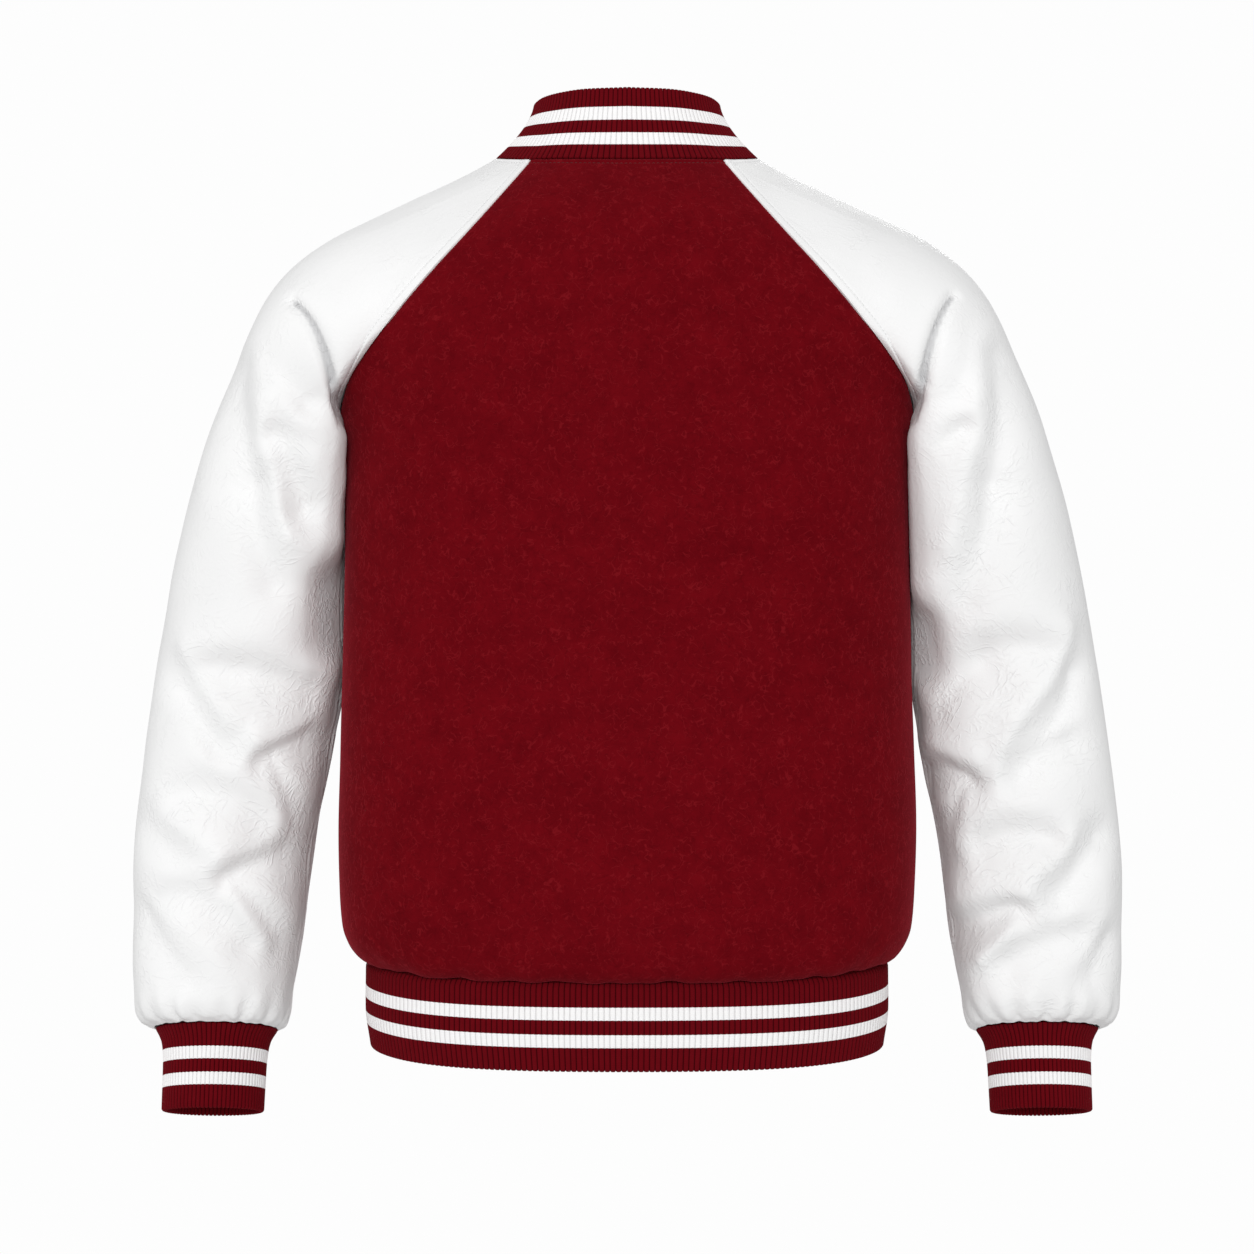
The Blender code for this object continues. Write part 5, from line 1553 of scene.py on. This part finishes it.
class JACKET_OT_hem_band(bpy.types.Operator):
    """Knit the hem band, its left end over its right end"""

    bl_idname = "jacket.hem_band"
    bl_label = "Hem Band"

    def execute(self, context):
        read, colours = settings(context)
        fractions, rise, number = rib_fractions(BAND_RIBS, False)
        late = fractions > 0.5
        first, last = BAND_ROWS[0, 0], BAND_ROWS[-1, 0]
        fine = np.linspace(0.0, 2.0 * math.pi, 4001)
        sine, cosine = np.sin(fine), np.cos(fine)
        power = 2.0 / BODY_POWER

        def surface(level):
            height = first + (last - first) * level
            tuck = 1.6 * math.exp(-((level / 0.035) ** 2))
            width, back, front = (float(read_table(BAND_ROWS[::-1], k, height)) - tuck
                                  for k in (1, 2, 3))
            x = -np.sign(sine) * np.abs(sine) ** power * width
            depth = np.where(cosine > 0.0, front, back)
            y = -np.sign(cosine) * np.abs(cosine) ** power * depth
            start = np.array((STAND_HALF_WIDTH, -front, height))
            ring = np.stack((x, y, np.full_like(x, height)), axis=1)
            path = np.concatenate((start[None], ring, mirrored(start[None])))
            row = at_distances(path, fractions * distance_along(path)[-1])
            row[late] = lift_left(row[late], BAND_LIFT)
            row[:, 2] += side_rise(row[:, 0])
            return row

        levels = knit_levels(SEAM_LEVELS, read["knit_wall"], BAND_HEIGHT)
        out = np.gradient(surface(0.5), axis=0)
        out = unit(np.stack((out[:, 1], -out[:, 0], np.zeros(len(out))), axis=1))
        out *= np.sign(out[len(out) // 2, 1])
        up = np.tile((0.0, 0.0, -1.0), (len(out), 1))
        knit = finish("band_knit", rib_knit, colours, BAND_STRIPES, BAND_KNIT_HEIGHT)
        piece = knit_piece("knit_hem_band", surface, out, up, levels, read, rise, number,
                           False, False, knit)
        declare(piece, "hem_band")
        return {"FINISHED"}


class JACKET_OT_cuffs(bpy.types.Operator):
    """Knit the two cuffs"""

    bl_idname = "jacket.cuffs"
    bl_label = "Cuffs"

    def execute(self, context):
        read, colours = settings(context)
        fractions, rise, number = rib_fractions(CUFF_RIBS, True)
        down = np.array((0.0, math.sin(CUFF_TILT), -math.cos(CUFF_TILT)))
        across = np.array((0.0, math.cos(CUFF_TILT), math.sin(CUFF_TILT)))
        sideways = np.array((1.0, 0.0, 0.0))
        turn = fractions * 2.0 * math.pi
        cosine, sine = np.cos(turn)[:, None], np.sin(turn)[:, None]

        def surface(level):
            below = CUFF_ROWS[0, 0] + (CUFF_ROWS[-1, 0] - CUFF_ROWS[0, 0]) * level
            centre_x, width, depth = (float(read_table(CUFF_ROWS, k, below)) for k in (1, 2, 3))
            tuck = 0.5 * math.exp(-((level / 0.02) ** 2))
            centre = np.array((centre_x, 0.0, CUFF_SEAM_HEIGHT + CUFF_RAISE)) + down * below
            return centre + cosine * (width - tuck) * sideways + sine * (depth - tuck) * across

        levels = knit_levels(SEAM_LEVELS, read["knit_wall"], CUFF_HEIGHT)
        out = unit(cosine * 35.5 * sideways + sine * 37.0 * across)
        up = np.tile(down, (len(out), 1))
        knit = finish("cuff_knit", rib_knit, colours, CUFF_STRIPES, CUFF_HEIGHT)
        for side, flip in SIDES:
            piece = knit_piece("knit_cuff_" + side, surface, out, up, levels, read, rise,
                               number, True, flip, knit)
            declare(piece, "cuff_" + side)
        return {"FINISHED"}


class JACKET_OT_stitching(bpy.types.Operator):
    """Sew the topstitching along the sleeve seams, the neck and the front edge"""

    bl_idname = "jacket.stitching"
    bl_label = "Stitching"

    def execute(self, context):
        read, colours = settings(context)
        shapes = shapes_for(read)
        pitch, offset = read["stitch_pitch"], read["topstitch_offset"]
        white = finish("white_thread", sewing_thread, THREAD_WHITE)
        red = finish("red_thread", sewing_thread, colours.wool_dark)
        edge, _, spans = sleeve_edge()
        for side, flip in SIDES:
            outer, base, normals = (shapes["sleeve_" + side][key][:SEAM_ROWS]
                                    for key in ("outer", "base", "normals"))
            for name, part, level, thread in (
                ("stitches_back_", spans["back"], offset, SEAM_THREAD),
                ("stitches_front_", spans["front"], offset, SEAM_THREAD),
                ("neck_stitches_", spans["neck"], NECK_STITCH, EDGE_THREAD),
            ):
                away = nearest(base[:, part], edge[part])
                sew(name + side, outer[:, part], normals[:, part], away, level, flip, pitch,
                    thread, white)
        for name, flip in (("back", False), ("front_left", False), ("front_right", True)):
            outer, normals = (shapes[name][key][: -NECK_ROWS - 1 : -1]
                              for key in ("outer", "normals"))
            away = shapes[name]["from_neck"][::-1]
            sew("neck_stitches_" + name, outer, normals, away, NECK_STITCH, flip, pitch,
                EDGE_THREAD, red)
        for name, flip in (("front_left", False), ("front_right", True)):
            outer, normals, away = (np.swapaxes(shapes[name][key], 0, 1)
                                    for key in ("outer", "normals", "from_edge"))
            sew("edge_stitches_" + name, outer, normals, away, EDGE_STITCH, flip, pitch,
                EDGE_THREAD, red)
        return {"FINISHED"}


class JACKET_OT_snaps(bpy.types.Operator):
    """Turn the seven snap caps of the front"""

    bl_idname = "jacket.snaps"
    bl_label = "Snaps"

    def execute(self, context):
        read, colours = settings(context)
        sides = context.scene.jacket_sizes.snap_sides
        metal = finish("satin_metal", satin_metal, colours)
        turn = np.linspace(0.0, 2.0 * math.pi, sides, endpoint=False)
        cosine, sine = np.cos(turn)[:, None], np.sin(turn)[:, None]
        for count, height in enumerate(SNAP_HEIGHTS, start=1):
            low, high = (Vector(corner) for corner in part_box("snap_" + str(count)))
            centre = np.array((low + high) * 0.5 / MM)
            tilt = 0.0
            if height > BAND_ROWS[0, 0]:
                below = -float(body_depth(-1, 0.0, height - 10.0))
                above = -float(body_depth(-1, 0.0, height + 10.0))
                tilt = math.atan2(below - above, 20.0)
            out = np.array((0.0, -math.cos(tilt), math.sin(tilt)))
            up = np.array((0.0, math.sin(tilt), math.cos(tilt)))
            seat = centre - out * SNAP_SINK
            circle = cosine * (1.0, 0.0, 0.0) + sine * up
            points = np.concatenate([
                seat + circle * read["snap_radius"] * radius + out * SNAP_RISE * rise
                for radius, rise in SNAP_PROFILE])
            faces = tube_faces(len(SNAP_PROFILE), sides)
            piece = make_piece("snap_cap_" + str(count), points, faces, metal)
            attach(piece, "root")
            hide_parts("snap_" + str(count))
        return {"FINISHED"}


class JACKET_OT_stage(bpy.types.Operator):
    """Set the floor, backdrop, soft lights and camera"""

    bl_idname = "jacket.stage"
    bl_label = "Stage"

    def execute(self, context):
        scene = context.scene
        scene.view_settings.view_transform = "Standard"
        turn = np.linspace(0.0, 2.0 * math.pi, ROOM_SIDES, endpoint=False)
        points = [(radius * math.cos(t), radius * math.sin(t), height)
                  for radius, height in ROOM_PROFILE[1:-1] for t in turn]
        points += [(0.0, 0.0, ROOM_PROFILE[0][1]), (0.0, 0.0, ROOM_PROFILE[-1][1])]
        rings = len(ROOM_PROFILE) - 2
        walls = sheet_faces(rings, ROOM_SIDES, True)[:, (0, 3, 2, 1)].tolist()
        floor, top = rings * ROOM_SIDES, (rings - 1) * ROOM_SIDES
        for i in range(ROOM_SIDES):
            j = (i + 1) % ROOM_SIDES
            walls += [(floor, i, j), (floor + 1, top + j, top + i)]
        mesh = bpy.data.meshes.new("studio_room")
        mesh.from_pydata(points, [], walls)
        room = linked("studio_room", mesh)
        material = bpy.data.materials.new("studio_white")
        material.use_nodes = True
        tree = material.node_tree
        tree.nodes.clear()
        glow = add(tree, "ShaderNodeEmission", Strength=1.0,
                   Color=(ROOM_GLOW, ROOM_GLOW, ROOM_GLOW, 1.0))
        add(tree, "ShaderNodeOutputMaterial", Surface=glow.outputs[0])
        mesh.materials.append(material)
        for rays in ("diffuse", "glossy", "shadow", "transmission"):
            setattr(room, "visible_" + rays, False)

        world = bpy.data.worlds.new("studio_air")
        world.use_nodes = True
        feed_all(world.node_tree, world.node_tree.nodes["Background"],
                 Color=(1.0, 1.0, 1.0, 1.0), Strength=AIR_GLOW)
        scene.world = world

        for name, spot, aim, size, energy in LIGHTS:
            data = bpy.data.lights.new(name, "AREA")
            data.shape = "DISK"
            data.size = size
            data.energy = energy
            lamp = linked(name, data)
            lamp.location = spot
            lamp.rotation_mode = "QUATERNION"
            lamp.rotation_quaternion = (Vector(aim) - Vector(spot)).to_track_quat("-Z", "Y")
            lamp.visible_camera = False

        data = bpy.data.cameras.new("camera")
        data.sensor_width = 36.0
        data.lens = CAMERA_LENS
        data.clip_end = 60.0
        camera = linked("camera", data)
        camera.location = CAMERA_PLACE
        camera.rotation_euler = (math.radians(90.0), 0.0, math.radians(180.0))
        scene.camera = camera
        return {"FINISHED"}


PIECE_OPERATORS = (
    JACKET_OT_back, JACKET_OT_fronts, JACKET_OT_sleeves, JACKET_OT_collar, JACKET_OT_hem_band,
    JACKET_OT_cuffs, JACKET_OT_stitching, JACKET_OT_snaps, JACKET_OT_stage,
)


class JACKET_PT_panel(bpy.types.Panel):
    """Sizes, colours and the steps of the jacket"""

    bl_idname = "JACKET_PT_panel"
    bl_label = "Varsity Jacket"
    bl_space_type = "VIEW_3D"
    bl_region_type = "UI"
    bl_category = "Jacket"

    def draw(self, context):
        layout = self.layout
        for group in (context.scene.jacket_sizes, context.scene.jacket_colours):
            box = layout.box()
            for key in group.bl_rna.properties.keys():
                if key not in ("rna_type", "name"):
                    box.prop(group, key)
        for operator in PIECE_OPERATORS:
            layout.operator(operator.bl_idname)


CLASSES = (JacketSizes, JacketColours, *PIECE_OPERATORS, JACKET_PT_panel)


def register():
    """Register the settings, steps and panel."""
    for item in CLASSES:
        bpy.utils.register_class(item)
    bpy.types.Scene.jacket_sizes = PointerProperty(type=JacketSizes)
    bpy.types.Scene.jacket_colours = PointerProperty(type=JacketColours)


def unregister():
    """Take the settings, steps and panel away again."""
    del bpy.types.Scene.jacket_colours
    del bpy.types.Scene.jacket_sizes
    for item in reversed(CLASSES):
        bpy.utils.unregister_class(item)


def main():
    """Build the whole jacket and its stage."""
    register()
    bpy.ops.jacket.back()
    bpy.ops.jacket.fronts()
    bpy.ops.jacket.sleeves()
    bpy.ops.jacket.collar()
    bpy.ops.jacket.hem_band()
    bpy.ops.jacket.cuffs()
    bpy.ops.jacket.stitching()
    bpy.ops.jacket.snaps()
    bpy.ops.jacket.stage()


if __name__ == "__main__":
    main()
